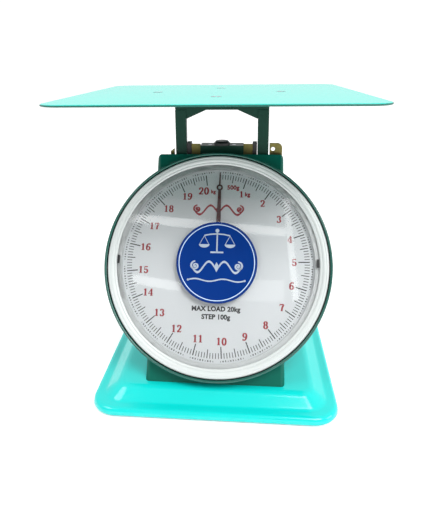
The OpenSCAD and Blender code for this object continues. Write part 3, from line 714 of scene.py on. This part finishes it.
class Print:
    """Flat printed shapes on one level of the dial, gathered into one thin mesh."""

    def __init__(self, dial: DialFrame, low: float, high: float) -> None:
        """Start an empty print.

        Args:
            dial: The dial's frame.
            low: Level of the print's back, in millimetres out of the face.
            high: Level of its front.
        """
        self.dial, self.low, self.high = dial, low, high
        self.points: list[Vector] = []
        self.faces: list[tuple[int, ...]] = []

    def add(self, outline: Outline) -> None:
        """Add one filled outline.

        Args:
            outline: Its points in millimetres, anticlockwise.
        """
        start, count = len(self.points), len(outline)
        for level in (self.low, self.high):
            self.points += [self.dial.point(x, y, level) for x, y in outline]
        self.faces.append(tuple(start + i for i in reversed(range(count))))
        self.faces.append(tuple(start + count + i for i in range(count)))
        for i in range(count):
            j = (i + 1) % count
            self.faces.append((start + i, start + j, start + count + j, start + count + i))

    def add_mark(self, angle: float, near: float, far: float, width: float) -> None:
        """Add one straight mark that points at the dial's centre.

        Args:
            angle: Clockwise angle from the top, in degrees.
            near: Radius of its inner end in millimetres.
            far: Radius of its outer end.
            width: Its width.
        """
        side = Vector(around(angle + 90, width / 2))
        inner, outer = Vector(around(angle, near)), Vector(around(angle, far))
        self.add([tuple(inner - side), tuple(inner + side), tuple(outer + side), tuple(outer - side)])

    def add_band(
        self, middle: Outline, width: float, closed: bool = False, thin: Optional[float] = None
    ) -> None:
        """Add a band along a line, as a pen with a broad nib draws it.

        Args:
            middle: Points of the band's middle line.
            width: Width where the line runs upright, or everywhere without a thin width.
            closed: Whether the line joins up with its start.
            thin: Width where the line runs level.
        """
        count = len(middle)
        sides: list[tuple[Vector, Vector]] = []
        for i, here in enumerate(middle):
            before = middle[(i - 1) % count] if closed or i else middle[i]
            after = middle[(i + 1) % count] if closed or i < count - 1 else middle[i]
            run = (Vector(after) - Vector(before)).normalized()
            wide = width if thin is None else thin + (width - thin) * abs(run.y)
            across = Vector((-run.y, run.x)) * wide / 2
            sides.append((Vector(here) + across, Vector(here) - across))
        last = count if closed else count - 1
        for i in range(last):
            j = (i + 1) % count
            self.add([tuple(sides[i][1]), tuple(sides[j][1]), tuple(sides[j][0]), tuple(sides[i][0])])

    def add_letters(self, text: str, size: float, x: float, y: float, weight: float) -> None:
        """Add a short generic text at the print's front level, centred on a point.

        Args:
            text: The numerals, unit or words to draw.
            size: Height of a capital in millimetres.
            x: Centre to the right of the dial's centre.
            y: Centre up the dial.
            weight: How much the strokes are thickened, in millimetres.
        """
        curve = bpy.data.curves.new("text_outline", "FONT")
        curve.body = text
        curve.size = size / FONT_CAP_HEIGHT
        curve.offset = weight
        curve.extrude = PRINT_HALF_THICKNESS
        curve.resolution_u = 3
        curve.align_x = "CENTER"
        curve.space_character = 1.04
        holder = bpy.data.objects.new("text_outline", curve)
        bpy.context.scene.collection.objects.link(holder)
        bpy.context.view_layer.update()
        mesh = bpy.data.meshes.new_from_object(holder.evaluated_get(bpy.context.evaluated_depsgraph_get()))
        ys = [v.co.y for v in mesh.vertices]
        xs = [v.co.x for v in mesh.vertices]
        middle_x, middle_y = (min(xs) + max(xs)) / 2, (min(ys) + max(ys)) / 2
        shift = Vector((x - middle_x, y - middle_y, self.high - PRINT_HALF_THICKNESS))
        start = len(self.points)
        self.points += [self.dial.point(*(v.co + shift)) for v in mesh.vertices]
        self.faces += [tuple(start + i for i in p.vertices) for p in mesh.polygons]
        bpy.data.objects.remove(holder)
        bpy.data.meshes.remove(mesh)
        bpy.data.curves.remove(curve)

    def make(self, name: str, finishes: Finishes, finish: str, body: str) -> bpy.types.Object:
        """Make the print's piece.

        Args:
            name: Name of the piece.
            finishes: The finishes to dress it from.
            finish: Name of its finish.
            body: The CAD body it rides on.

        Returns:
            The printed piece.
        """
        piece = new_mesh(name, self.points, self.faces)
        finishes.dress(piece, finish)
        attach(piece, body)
        LOG.info("%s: %d faces", name, len(self.faces))
        return piece


def around(angle: float, radius: float) -> tuple[float, float]:
    """Point at a clockwise angle in degrees from the top of the dial."""
    return radius * math.sin(math.radians(angle)), radius * math.cos(math.radians(angle))


def circle(x: float, y: float, radius: float, steps: int = 48) -> Outline:
    """Points round a circle, anticlockwise."""
    turns = (2 * math.pi * i / steps for i in range(steps))
    return [(x + radius * math.cos(a), y + radius * math.sin(a)) for a in turns]


def arc(x: float, y: float, rx: float, ry: float, start: float, end: float, steps: int = 18) -> Outline:
    """Points along an elliptical arc, angles in degrees anticlockwise from the right."""
    turns = (math.radians(start + (end - start) * i / steps) for i in range(steps + 1))
    return [(x + rx * math.cos(a), y + ry * math.sin(a)) for a in turns]


def scroll(ink: Print, x: float, y: float, length: float, height: float, width: float) -> None:
    """Draw one S-shaped scroll that curls up at its far end.

    Args:
        ink: The print it joins.
        x: Start to the right of the dial's centre.
        y: Height of its middle line.
        length: Reach to the right, or to the left when negative.
        height: Height of its wave.
        width: Width of its thick strokes.
    """
    wave_steps, curl_steps, curl_turn = 24, 30, 18
    turns = ((i / wave_steps, math.sin(2 * math.pi * i / wave_steps)) for i in range(wave_steps + 1))
    wave = [(x + length * share, y + height / 2 * rise) for share, rise in turns]
    ink.add_band(wave, width * 0.6, False, width)
    turn = math.copysign(1, length)
    centre_x, centre_y = x + length * 0.86, y + height * 0.1
    curl = []
    for i in range(curl_steps):
        angle = math.radians(90 - curl_turn * i)
        reach = height * 0.42 * (1 - i / (curl_steps + 4))
        curl.append((centre_x + turn * reach * math.cos(angle), centre_y + reach * math.sin(angle)))
    ink.add_band(curl, width * 0.8, False, width * 0.45)
    ink.add(circle(curl[-1][0], curl[-1][1], width * 0.6, 16))


@dataclass
class Numeral:
    """Bold numerals with slab serifs, drawn with a broad nib in a box one unit high."""

    ink: Print
    thick: float = 0.25
    thin: float = 0.11
    ball: float = 0.10
    spread: float = 1.16
    advance: float = 0.76

    def write(self, text: str, height: float, x: float, y: float) -> None:
        """Write a number centred on a point.

        Args:
            text: Digits only.
            height: Height of the digits in millimetres.
            x: Centre to the right of the dial's centre.
            y: Centre above the dial's centre.
        """
        start = x - height * (self.advance * len(text) - 0.04) / 2
        for i, digit in enumerate(text):
            left = start + i * self.advance * height

            def place(points: Outline) -> Outline:
                """Move points from the digit's box to the dial."""
                return [(left + height * self.spread * a, y + height * (b - 0.5)) for a, b in points]

            for points, wide, thin, closed in self._strokes(digit):
                self.ink.add_band(place(points), wide * height, closed, thin * height)
            for a, b in self._balls(digit):
                self.ink.add(circle(*place([(a, b)])[0], self.ball * height, 14))

    def _strokes(self, digit: str) -> list[tuple[Outline, float, float, bool]]:
        """Look up a digit's strokes.

        Args:
            digit: The digit.

        Returns:
            Each stroke's points in the digit's box, its upright width, its level width and
            whether it is closed.
        """
        t, n = self.thick, self.thin
        if digit == "9":
            six = self._strokes("6")
            return [([(0.6 - a, 1 - b) for a, b in points], *widths) for points, *widths in six]
        return {
            "0": [(arc(0.3, 0.5, 0.2, 0.46, 0, 350, 35), t, n, True)],
            "1": [
                ([(0.3, 0.0), (0.3, 1.0)], t, n, False),
                ([(0.1, 0.04), (0.5, 0.04)], 0.08, 0.08, False),
                ([(0.3, 0.94), (0.1, 0.82)], 0.1, 0.1, False),
            ],
            "2": [
                (arc(0.3, 0.72, 0.19, 0.24, 170, -25) + [(0.3, 0.3), (0.1, 0.07)], t, n, False),
                ([(0.06, 0.07), (0.54, 0.07)], 0.14, 0.14, False),
                ([(0.53, 0.06), (0.56, 0.24)], 0.07, 0.07, False),
            ],
            "3": [
                (arc(0.28, 0.74, 0.18, 0.22, 150, -85), t, n, False),
                (arc(0.28, 0.28, 0.21, 0.24, 85, -150), t, n, False),
            ],
            "4": [
                ([(0.4, 0.98), (0.04, 0.3)], n, n, False),
                ([(0.02, 0.28), (0.6, 0.28)], 0.09, 0.09, False),
                ([(0.4, 0.0), (0.4, 0.99)], t, n, False),
                ([(0.22, 0.04), (0.58, 0.04)], 0.08, 0.08, False),
            ],
            "5": [
                ([(0.12, 0.92), (0.52, 0.92)], 0.15, 0.15, False),
                ([(0.14, 0.95), (0.11, 0.48)], n, n, False),
                (arc(0.28, 0.31, 0.2, 0.27, 145, -150), t, n, False),
            ],
            "6": [
                (arc(0.3, 0.29, 0.19, 0.26, 0, 350, 35), t, n, True),
                (arc(0.42, 0.4, 0.31, 0.56, 65, 185), t, n, False),
            ],
            "7": [
                ([(0.06, 0.9), (0.56, 0.9)], 0.17, 0.17, False),
                ([(0.53, 0.88), (0.36, 0.5), (0.28, 0.0)], t, n, False),
                ([(0.09, 0.95), (0.06, 0.68)], 0.08, 0.08, False),
            ],
            "8": [
                (arc(0.3, 0.74, 0.16, 0.22, 0, 350, 35), t, n, True),
                (arc(0.3, 0.27, 0.19, 0.25, 0, 350, 35), t, n, True),
            ],
        }[digit]

    def _balls(self, digit: str) -> Outline:
        """Look up a digit's round stroke ends.

        Args:
            digit: The digit.

        Returns:
            Their centres in the digit's box.
        """
        return {
            "2": [(0.15, 0.75)],
            "3": [(0.14, 0.82), (0.12, 0.19)],
            "5": [(0.12, 0.2)],
            "6": [(0.5, 0.86)],
            "9": [(0.1, 0.14)],
        }.get(digit, [])


@dataclass
class DialPrint:
    """Graduations and numerals of a 20 kg dial with a mark each 100 g."""

    dial: DialFrame
    finishes: Finishes
    capacity_kg: int = 20
    marks_per_kg: int = 10
    zero: float = 0.62
    step: float = 1.7534
    outer: float = 85.7
    minor_inner: float = 81.0
    middle_inner: float = 78.2
    major_inner: float = 75.4
    numeral_radius: float = 70.8
    numeral_height: float = 6.5
    numeral_shift: float = 0.8
    level: float = 0.03

    def build(self) -> None:
        """Print the whole face."""
        self._marks()
        self._numerals()
        self._fine_ring()
        self._legend()

    def _angle(self, mark: float) -> float:
        """Clockwise angle of a mark from the top."""
        return self.zero + mark * self.step

    def _marks(self) -> None:
        """Print the 201 graduation lines."""
        ink = Print(self.dial, 0.0, self.level)
        for mark in range(self.capacity_kg * self.marks_per_kg + 1):
            if mark % self.marks_per_kg == 0:
                inner, width = self.major_inner, 0.95
            elif mark % (self.marks_per_kg // 2) == 0:
                inner, width = self.middle_inner, 0.75
            else:
                inner, width = self.minor_inner, 0.62
            angle = self._angle(mark)
            ink.add_mark(angle, inner, self.outer, width)
        ink.make("graduation_marks", self.finishes, "black_print", "housing")

    def _numerals(self) -> None:
        """Print the upright numerals and the small unit marks by the zero."""
        ink = Print(self.dial, 0.0, self.level)
        pen = Numeral(ink)
        for kilo in range(2, self.capacity_kg):
            x, y = around(self._angle(kilo * self.marks_per_kg), self.numeral_radius)
            pen.write(str(kilo), self.numeral_height, x + self.numeral_shift, y)
        x, y = around(self._angle(self.capacity_kg * self.marks_per_kg), self.numeral_radius)
        pen.write(str(self.capacity_kg), self.numeral_height + 0.5, x - 4.0, y - 0.8)
        self._small("unit_kg", "kg", 3.5, x + 5.4, y - 1.8, 0.24)
        x, y = around(self._angle(self.marks_per_kg), self.numeral_radius)
        pen.write("1", self.numeral_height * 0.95, x - 0.2, y - 1.0)
        self._small("unit_kg_at_one", "kg", 3.9, x + 5.6, y - 1.6, 0.26)
        x, y = around(self._angle(self.marks_per_kg / 2), 72.4)
        self._small("half_kilo_mark", "500g", 4.2, x + 2.0, y + 0.9, 0.28)
        ink.make("dial_numerals", self.finishes, "dark_red_print", "housing")

    def _small(self, name: str, text: str, size: float, x: float, y: float, weight: float) -> None:
        """Print one small red text as its own piece.

        Args:
            name: Name of the piece.
            text: The text.
            size: Height of a capital in millimetres.
            x: Centre to the right of the dial's centre.
            y: Centre up the dial.
            weight: How much the strokes are thickened.
        """
        ink = Print(self.dial, 0.0, self.level)
        ink.add_letters(text, size, x, y, weight)
        ink.make(name, self.finishes, "dark_red_print", "housing")

    def _fine_ring(self) -> None:
        """Print a ring of fine dashes outside the graduations."""
        ink = Print(self.dial, 0.0, self.level)
        for i in range(240):
            angle = i * 1.5 + 1.0
            if i % 12 > 9:
                continue
            ink.add_mark(angle, 87.6 - 0.2 * (i * 5 % 3), 88.7, 2 * (0.28 + 0.16 * (i * 7 % 3)))
        ink.make("fine_dash_ring", self.finishes, "grey_print", "housing")

    def _legend(self) -> None:
        """Print the generic range and step below the centre disc."""
        ink = Print(self.dial, 0.0, self.level)
        ink.add_letters("MAX LOAD 20kg", 4.3, 0.0, -42.6, 0.26)
        ink.add_letters("STEP 100g", 4.3, 0.0, -49.8, 0.26)
        ink.make("range_legend", self.finishes, "black_print", "housing")
        self._flourish()

    def _flourish(self) -> None:
        """Print a plain red scroll between the centre disc and the numerals."""
        ink = Print(self.dial, 0.0, self.level)
        for side in (-1, 1):
            scroll(ink, side * 2.4, 50.5, side * 21.0, 9.0, 2.3)
        ink.add([(0, 45.5), (3.0, 50.5), (0, 55.5), (-3.0, 50.5)])
        ink.make("red_scroll", self.finishes, "dark_red_print", "housing")


@dataclass
class CentreDisc:
    """The blue disc that is fixed to the middle of the glass, with a plain ornament."""

    dial: DialFrame
    finishes: Finishes
    recess: float = 0.12
    steps: int = 96

    def build(self) -> None:
        """Build the disc with its raised rim, its pale ring and its ornament."""
        low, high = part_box("centre_disc")
        radius = (high.x - low.x) / 2 / MM
        back, front = self._levels()
        sunk = front - self.recess
        profile = [
            (radius - 0.2, back), (radius, back + 0.2), (radius, front - 0.3), (radius - 0.3, front),
            (radius - 1.6, front), (radius - 2.0, sunk), (radius * 0.5, sunk), (0.8, sunk),
        ]
        disc = lofted("blue_disc", self.dial.rings(profile, self.steps))
        smooth(disc, 40)
        self.finishes.dress(disc, "blue_gloss_enamel")
        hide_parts("centre_disc", "disc_rivet")
        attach(disc, "housing")
        rim = Print(self.dial, sunk, front + 0.02)
        rim.add_band(circle(0, 0, radius - 0.9, self.steps), 1.5, closed=True)
        rim.make("disc_rim_paint", self.finishes, "deep_blue_gloss_enamel", "housing")
        pale = Print(self.dial, sunk, front - 0.06)
        pale.add_band(circle(0, 0, radius - 2.6, self.steps), 0.7, closed=True)
        pale.make("disc_pale_ring", self.finishes, "pale_blue_print", "housing")
        foil = Print(self.dial, sunk, front - 0.04)
        self._balance(foil)
        foil.make("disc_ornament", self.finishes, "silver_foil_print", "housing")

    def _levels(self) -> tuple[float, float]:
        """Return the disc's back and front levels in millimetres out of the face."""
        levels = [p.z for p in self.dial.places("centre_disc")]
        return min(levels), max(levels)

    def _balance(self, ink: Print) -> None:
        """Draw a plain beam balance, a pair of scrolls and a swash under it.

        Args:
            ink: The print it joins.
        """
        base = 9.0
        ink.add_band([(0, base), (0, base + 19)], 1.3)
        beam = [(-12, 15.6), (-6, 16.8), (0, 17.2), (6, 16.8), (12, 15.6)]
        ink.add_band([(x, base + y) for x, y in beam], 1.2)
        ink.add(circle(0, base + 20.2, 1.8, 24))
        ink.add_band([(-6, base), (6, base)], 1.5)
        for side in (-1, 1):
            for reach in (-4.2, 4.2):
                ink.add_band([(side * 12, base + 15.4), (side * 12 + reach, base + 7.6)], 0.5)
            ink.add(arc(side * 12, base + 7.4, 5.0, 3.2, 180, 360, 12))
            scroll(ink, side * 1.8, -4.6, side * 21.0, 10.0, 2.2)
        ink.add([(0, -9.2), (2.4, -4.6), (0, 0.0), (-2.4, -4.6)])
        swash = [(26 * (i / 20 - 1), -16.5 + 1.1 * math.sin(math.pi * i / 10)) for i in range(41)]
        ink.add_band(swash, 0.8, False, 1.3)
        for side in (-1, 1):
            ink.add(circle(side * 26, -16.5, 1.0, 16))


@dataclass
class Bezel:
    """The moulded bezel: one rolled ring that turns in over the edge of the glass."""

    dial: DialFrame
    finishes: Finishes
    steps: int = 160

    def build(self) -> bpy.types.Object:
        """Build the ring in place of the plain CAD one.

        Returns:
            The bezel piece.
        """
        places = self.dial.places("bezel_ring")
        outer = max(math.hypot(p.x, p.y) for p in places)
        back, front = min(p.z for p in places), max(p.z for p in places)
        glass = max(p.z for p in self.dial.places("lens"))
        rim = [
            (outer - 4.4, back), (outer, back), (outer + 0.3, front - 1.4), (outer - 0.3, front - 0.1),
            (outer - 1.2, front + 0.5), (outer - 1.9, front + 0.6), (outer - 2.2, front + 0.3),
            (outer - 2.6, front + 0.3), (outer - 3.0, front + 0.6), (outer - 4.4, front + 0.5),
            (outer - 5.6, front + 0.1), (outer - 5.9, front - 0.3), (outer - 6.3, front - 0.3),
            (outer - 6.6, front - 0.2), (outer - 7.5, front - 0.6), (outer - 8.2, glass + 0.25),
            (outer - 8.3, glass + 0.05), (outer - 4.4, glass + 0.05),
        ]
        piece = lofted("rolled_bezel", self.dial.rings(rim, self.steps), closed=True)
        smooth(piece, 50)
        self.finishes.dress(piece, "white_moulded_abs")
        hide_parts("bezel_ring")
        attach(piece, "housing")
        LOG.info("bezel: %.0f mm across", 2 * outer)
        return piece


# ---------------------------------------------------------------- CAD nodes kept as they are


@dataclass
class KeptNodes:
    """CAD nodes whose shape is right, each with its finish and softened edges."""

    finishes: Finishes
    finish_of: dict[str, Sequence[str]] = field(
        default_factory=lambda: {
            # Casing panels in turquoise enamel darkened for the platform's shadow: painted shade.
            "shade_darkened_teal_enamel": (
                "front_panel", "side_panel_left", "side_panel_right", "rear_cover",
            ),
            "bottle_green_gloss_enamel": ("dial_drum",),
            # Parts under the platform in a green darkened for its shadow: painted shade.
            "shade_darkened_green_enamel": (
                "spring_beam", "platform_spider", "yoke_head", "post_left", "post_right",
            ),
            "bright_zinc_plate": (
                "bottom_plate", "foot_screws", "panel_screws", "cover_screws", "frame_screws",
                "frame_spacers", "spring_hangers", "beam_screws", "drum_screws", "face_screws",
                "disc_rivet", "movement_pillars", "arbor", "rack_pin", "platform_screws", "tie_bar",
                "drive_arm", "tie_screws", "spring_anchors", "link_studs",
            ),
            # Brackets and links in a yellow zinc darkened for the platform's shadow: painted shade.
            "shade_darkened_yellow_zinc": (
                "frame_left", "frame_right", "transit_bracket", "guide_bracket", "upper_link", "lower_link",
            ),
            "turned_brass": (
                "movement_front_plate", "movement_rear_plate", "arbor_bushes", "rack_guide", "pinion",
                "rack",
            ),
            "oiled_spring_steel": (
                "spring_left", "spring_right", "spring_upper_loops", "spring_lower_loops",
            ),
            "black_moulded_rubber": ("rubber_feet", "overload_buffers"),
            "black_acetal": ("zero_knob", "post_guides", "lens_clips", "pointer_hub"),
            "white_moulded_abs": ("bezel_ring",),
            "pale_grey_abs": ("lens_spacer",),
            "white_dial_enamel": ("dial_face",),
            "float_glass": ("lens",),
            "maroon_lacquer": ("pointer",),
            "blue_gloss_enamel": ("centre_disc",),
            "turquoise_stove_enamel": ("base_pan",),
            "pale_turquoise_platform_enamel": ("platform",),
        }
    )
    softened: dict[str, float] = field(
        default_factory=lambda: {
            "front_panel": 0.5, "side_panel_left": 0.4, "side_panel_right": 0.4, "rear_cover": 0.4,
            "spring_beam": 0.8, "platform_spider": 1.0, "yoke_head": 0.9, "post_left": 0.8,
            "post_right": 0.8, "transit_bracket": 0.4, "guide_bracket": 0.4, "post_guides": 0.6,
            "tie_bar": 0.6, "bottom_plate": 0.3,
        }
    )

    def build(self) -> None:
        """Dress every kept node and round its edges."""
        for finish, names in self.finish_of.items():
            for name in names:
                piece = node_of(name)
                self.finishes.dress(piece, finish)
                self._soften(piece, self.softened.get(name, 0.0))
        LOG.info("kept CAD nodes dressed")

    def _soften(self, piece: bpy.types.Object, width: float) -> None:
        """Round a node's sharp edges.

        Args:
            piece: The CAD object, whose mesh stays as it is.
            width: Width of the rounding in millimetres; nothing is added for 0.
        """
        if not width:
            return
        weld = piece.modifiers.new("joined_corners", "WELD")
        weld.merge_threshold = 0.01 * MM
        edge = piece.modifiers.new("softened_edges", "BEVEL")
        edge.width = width * MM
        edge.segments = 3
        edge.limit_method = "ANGLE"
        edge.angle_limit = math.radians(50)
        edge.harden_normals = True


# ---------------------------------------------------------------- studio


@dataclass(frozen=True)
class SoftLight:
    """One oblong soft light: its place, the point it faces, its size in metres and its watts."""

    name: str
    at: tuple[float, float, float]
    to: tuple[float, float, float]
    size: tuple[float, float]
    watts: float

    def hang(self) -> None:
        """Hang the light in the scene."""
        lamp = bpy.data.lights.new(self.name, "AREA")
        lamp.shape = "RECTANGLE"
        lamp.energy = self.watts
        lamp.size, lamp.size_y = self.size
        holder = bpy.data.objects.new(self.name, lamp)
        holder.location = self.at
        holder.rotation_euler = (Vector(self.to) - Vector(self.at)).to_track_quat("-Z", "Y").to_euler()
        bpy.context.scene.collection.objects.link(holder)
        LOG.info("%s: %g W", self.name, self.watts)


@dataclass
class Studio:
    """Pale floor and walls, soft lights and the camera; places in metres, turns in degrees."""

    camera_at: tuple[float, float, float] = (0.0285, -0.4615, 0.2978)
    pan: float = 5.10
    look_down: float = 15.62
    lean: float = -0.67
    lens: float = 34.58
    shift: tuple[float, float] = (0.0266, -0.1175)
    front_wall: float = 0.42
    back_wall: float = 1.05
    floor_glow: float = 0.28
    floor_reach: float = 6.0

    def build(self) -> None:
        """Set up the floor, the walls, the lights and the camera."""
        self._floor()
        self._walls()
        self._lights()
        self._camera()

    def _floor(self) -> None:
        """Lay a wide pale floor that fades to white."""
        corners = [(-1, -1), (1, -1), (1, 1), (-1, 1)]
        points = [Vector((self.floor_reach * x, self.floor_reach * y, 0)) for x, y in corners]
        floor = new_mesh("studio_floor", points, [(0, 1, 2, 3)])
        mat = bpy.data.materials.new("white_paper_floor")
        mat.use_nodes = True
        mat.node_tree.nodes.clear()
        white = linear("#FFFFFF")
        settings = {"Base Color": white, "Roughness": 0.9, "Emission Color": white}
        shader = add_node(mat, "BsdfPrincipled", {**settings, "Emission Strength": self.floor_glow})
        add_node(mat, "OutputMaterial", links={"Surface": shader.outputs["BSDF"]})
        floor.data.materials.append(mat)

    def _walls(self) -> None:
        """Light the studio from pale walls, with a darker front above eye level for the glass to mirror."""
        world = bpy.data.worlds.new("studio_world")
        world.use_nodes = True
        world.node_tree.nodes.clear()
        way = add_node(world, "TexCoord").outputs["Generated"]
        parts = add_node(world, "SeparateXYZ", {}, {"Vector": way})
        depth = ranged(world, parts.outputs["Y"], (-0.35, 0.15), (self.front_wall, self.back_wall))
        shade = add_node(
            world,
            "MapRange",
            {"From Min": 0.14, "From Max": 0.22, "To Min": self.back_wall},
            {"Value": parts.outputs["Z"], "To Max": depth},
        )
        settings, strength = {"Color": linear("#FFFFFF")}, {"Strength": shade.outputs["Result"]}
        glow = add_node(world, "Background", settings, strength)
        add_node(world, "OutputWorld", links={"Surface": glow.outputs["Background"]})
        bpy.context.scene.world = world
        bpy.context.scene.view_settings.view_transform = "Standard"

    def _lights(self) -> None:
        """Hang the soft lights, and the lit cards that the dial's glass mirrors."""
        floor, dial = (0, -0.05, 0.1), (0, -0.04, 0.11)
        for light in (
            SoftLight("key_softbox", (0.8, -1.1, 1.7), floor, (0.9, 0.9), 30),
            SoftLight("left_softbox", (-1.1, -0.55, 1.6), (0, 0, 0.1), (0.8, 0.8), 12),
            SoftLight("right_softbox", (1.4, -0.4, 0.6), (0, -0.05, 0.05), (0.6, 0.6), 6),
            SoftLight("upper_light_card", (-0.13, -1.1, 0.99), dial, (0.60, 0.032), 0.2),
            SoftLight("side_light_card", (0.18, -1.1, 0.94), dial, (0.022, 0.46), 0.08),
            SoftLight("lower_light_card", (-0.28, -1.1, 0.735), dial, (0.17, 0.03), 0.04),
            SoftLight("pale_light_card", (0.02, -1.1, 0.715), dial, (0.26, 0.07), 0.06),
        ):
            light.hang()

    def _camera(self) -> None:
        """Place the camera."""
        data = bpy.data.cameras.new("studio_camera")
        data.sensor_width = 36.0
        data.lens = self.lens
        data.shift_x, data.shift_y = self.shift
        data.clip_start, data.clip_end = 0.01, 50.0
        pan, down, lean = (math.radians(a) for a in (self.pan, self.look_down, self.lean))
        turn = (
            Matrix.Rotation(pan, 3, "Z")
            @ Matrix.Rotation(math.pi / 2 - down, 3, "X")
            @ Matrix.Rotation(lean, 3, "Z")
        )
        camera = bpy.data.objects.new("studio_camera", data)
        camera.matrix_world = Matrix.Translation(Vector(self.camera_at)) @ turn.to_4x4()
        bpy.context.scene.collection.objects.link(camera)
        bpy.context.scene.camera = camera


def main() -> None:
    """Build every sub-assembly in order."""
    logging.basicConfig(level=logging.INFO, format="%(name)s: %(message)s")
    finishes = Finishes()
    Studio().build()
    KeptNodes(finishes).build()
    PressedBase(finishes).build()
    PlatformTop(finishes).build()
    dial = DialFrame()
    DialPrint(dial, finishes).build()
    CentreDisc(dial, finishes).build()
    Bezel(dial, finishes).build()


if __name__ == "__main__":
    main()
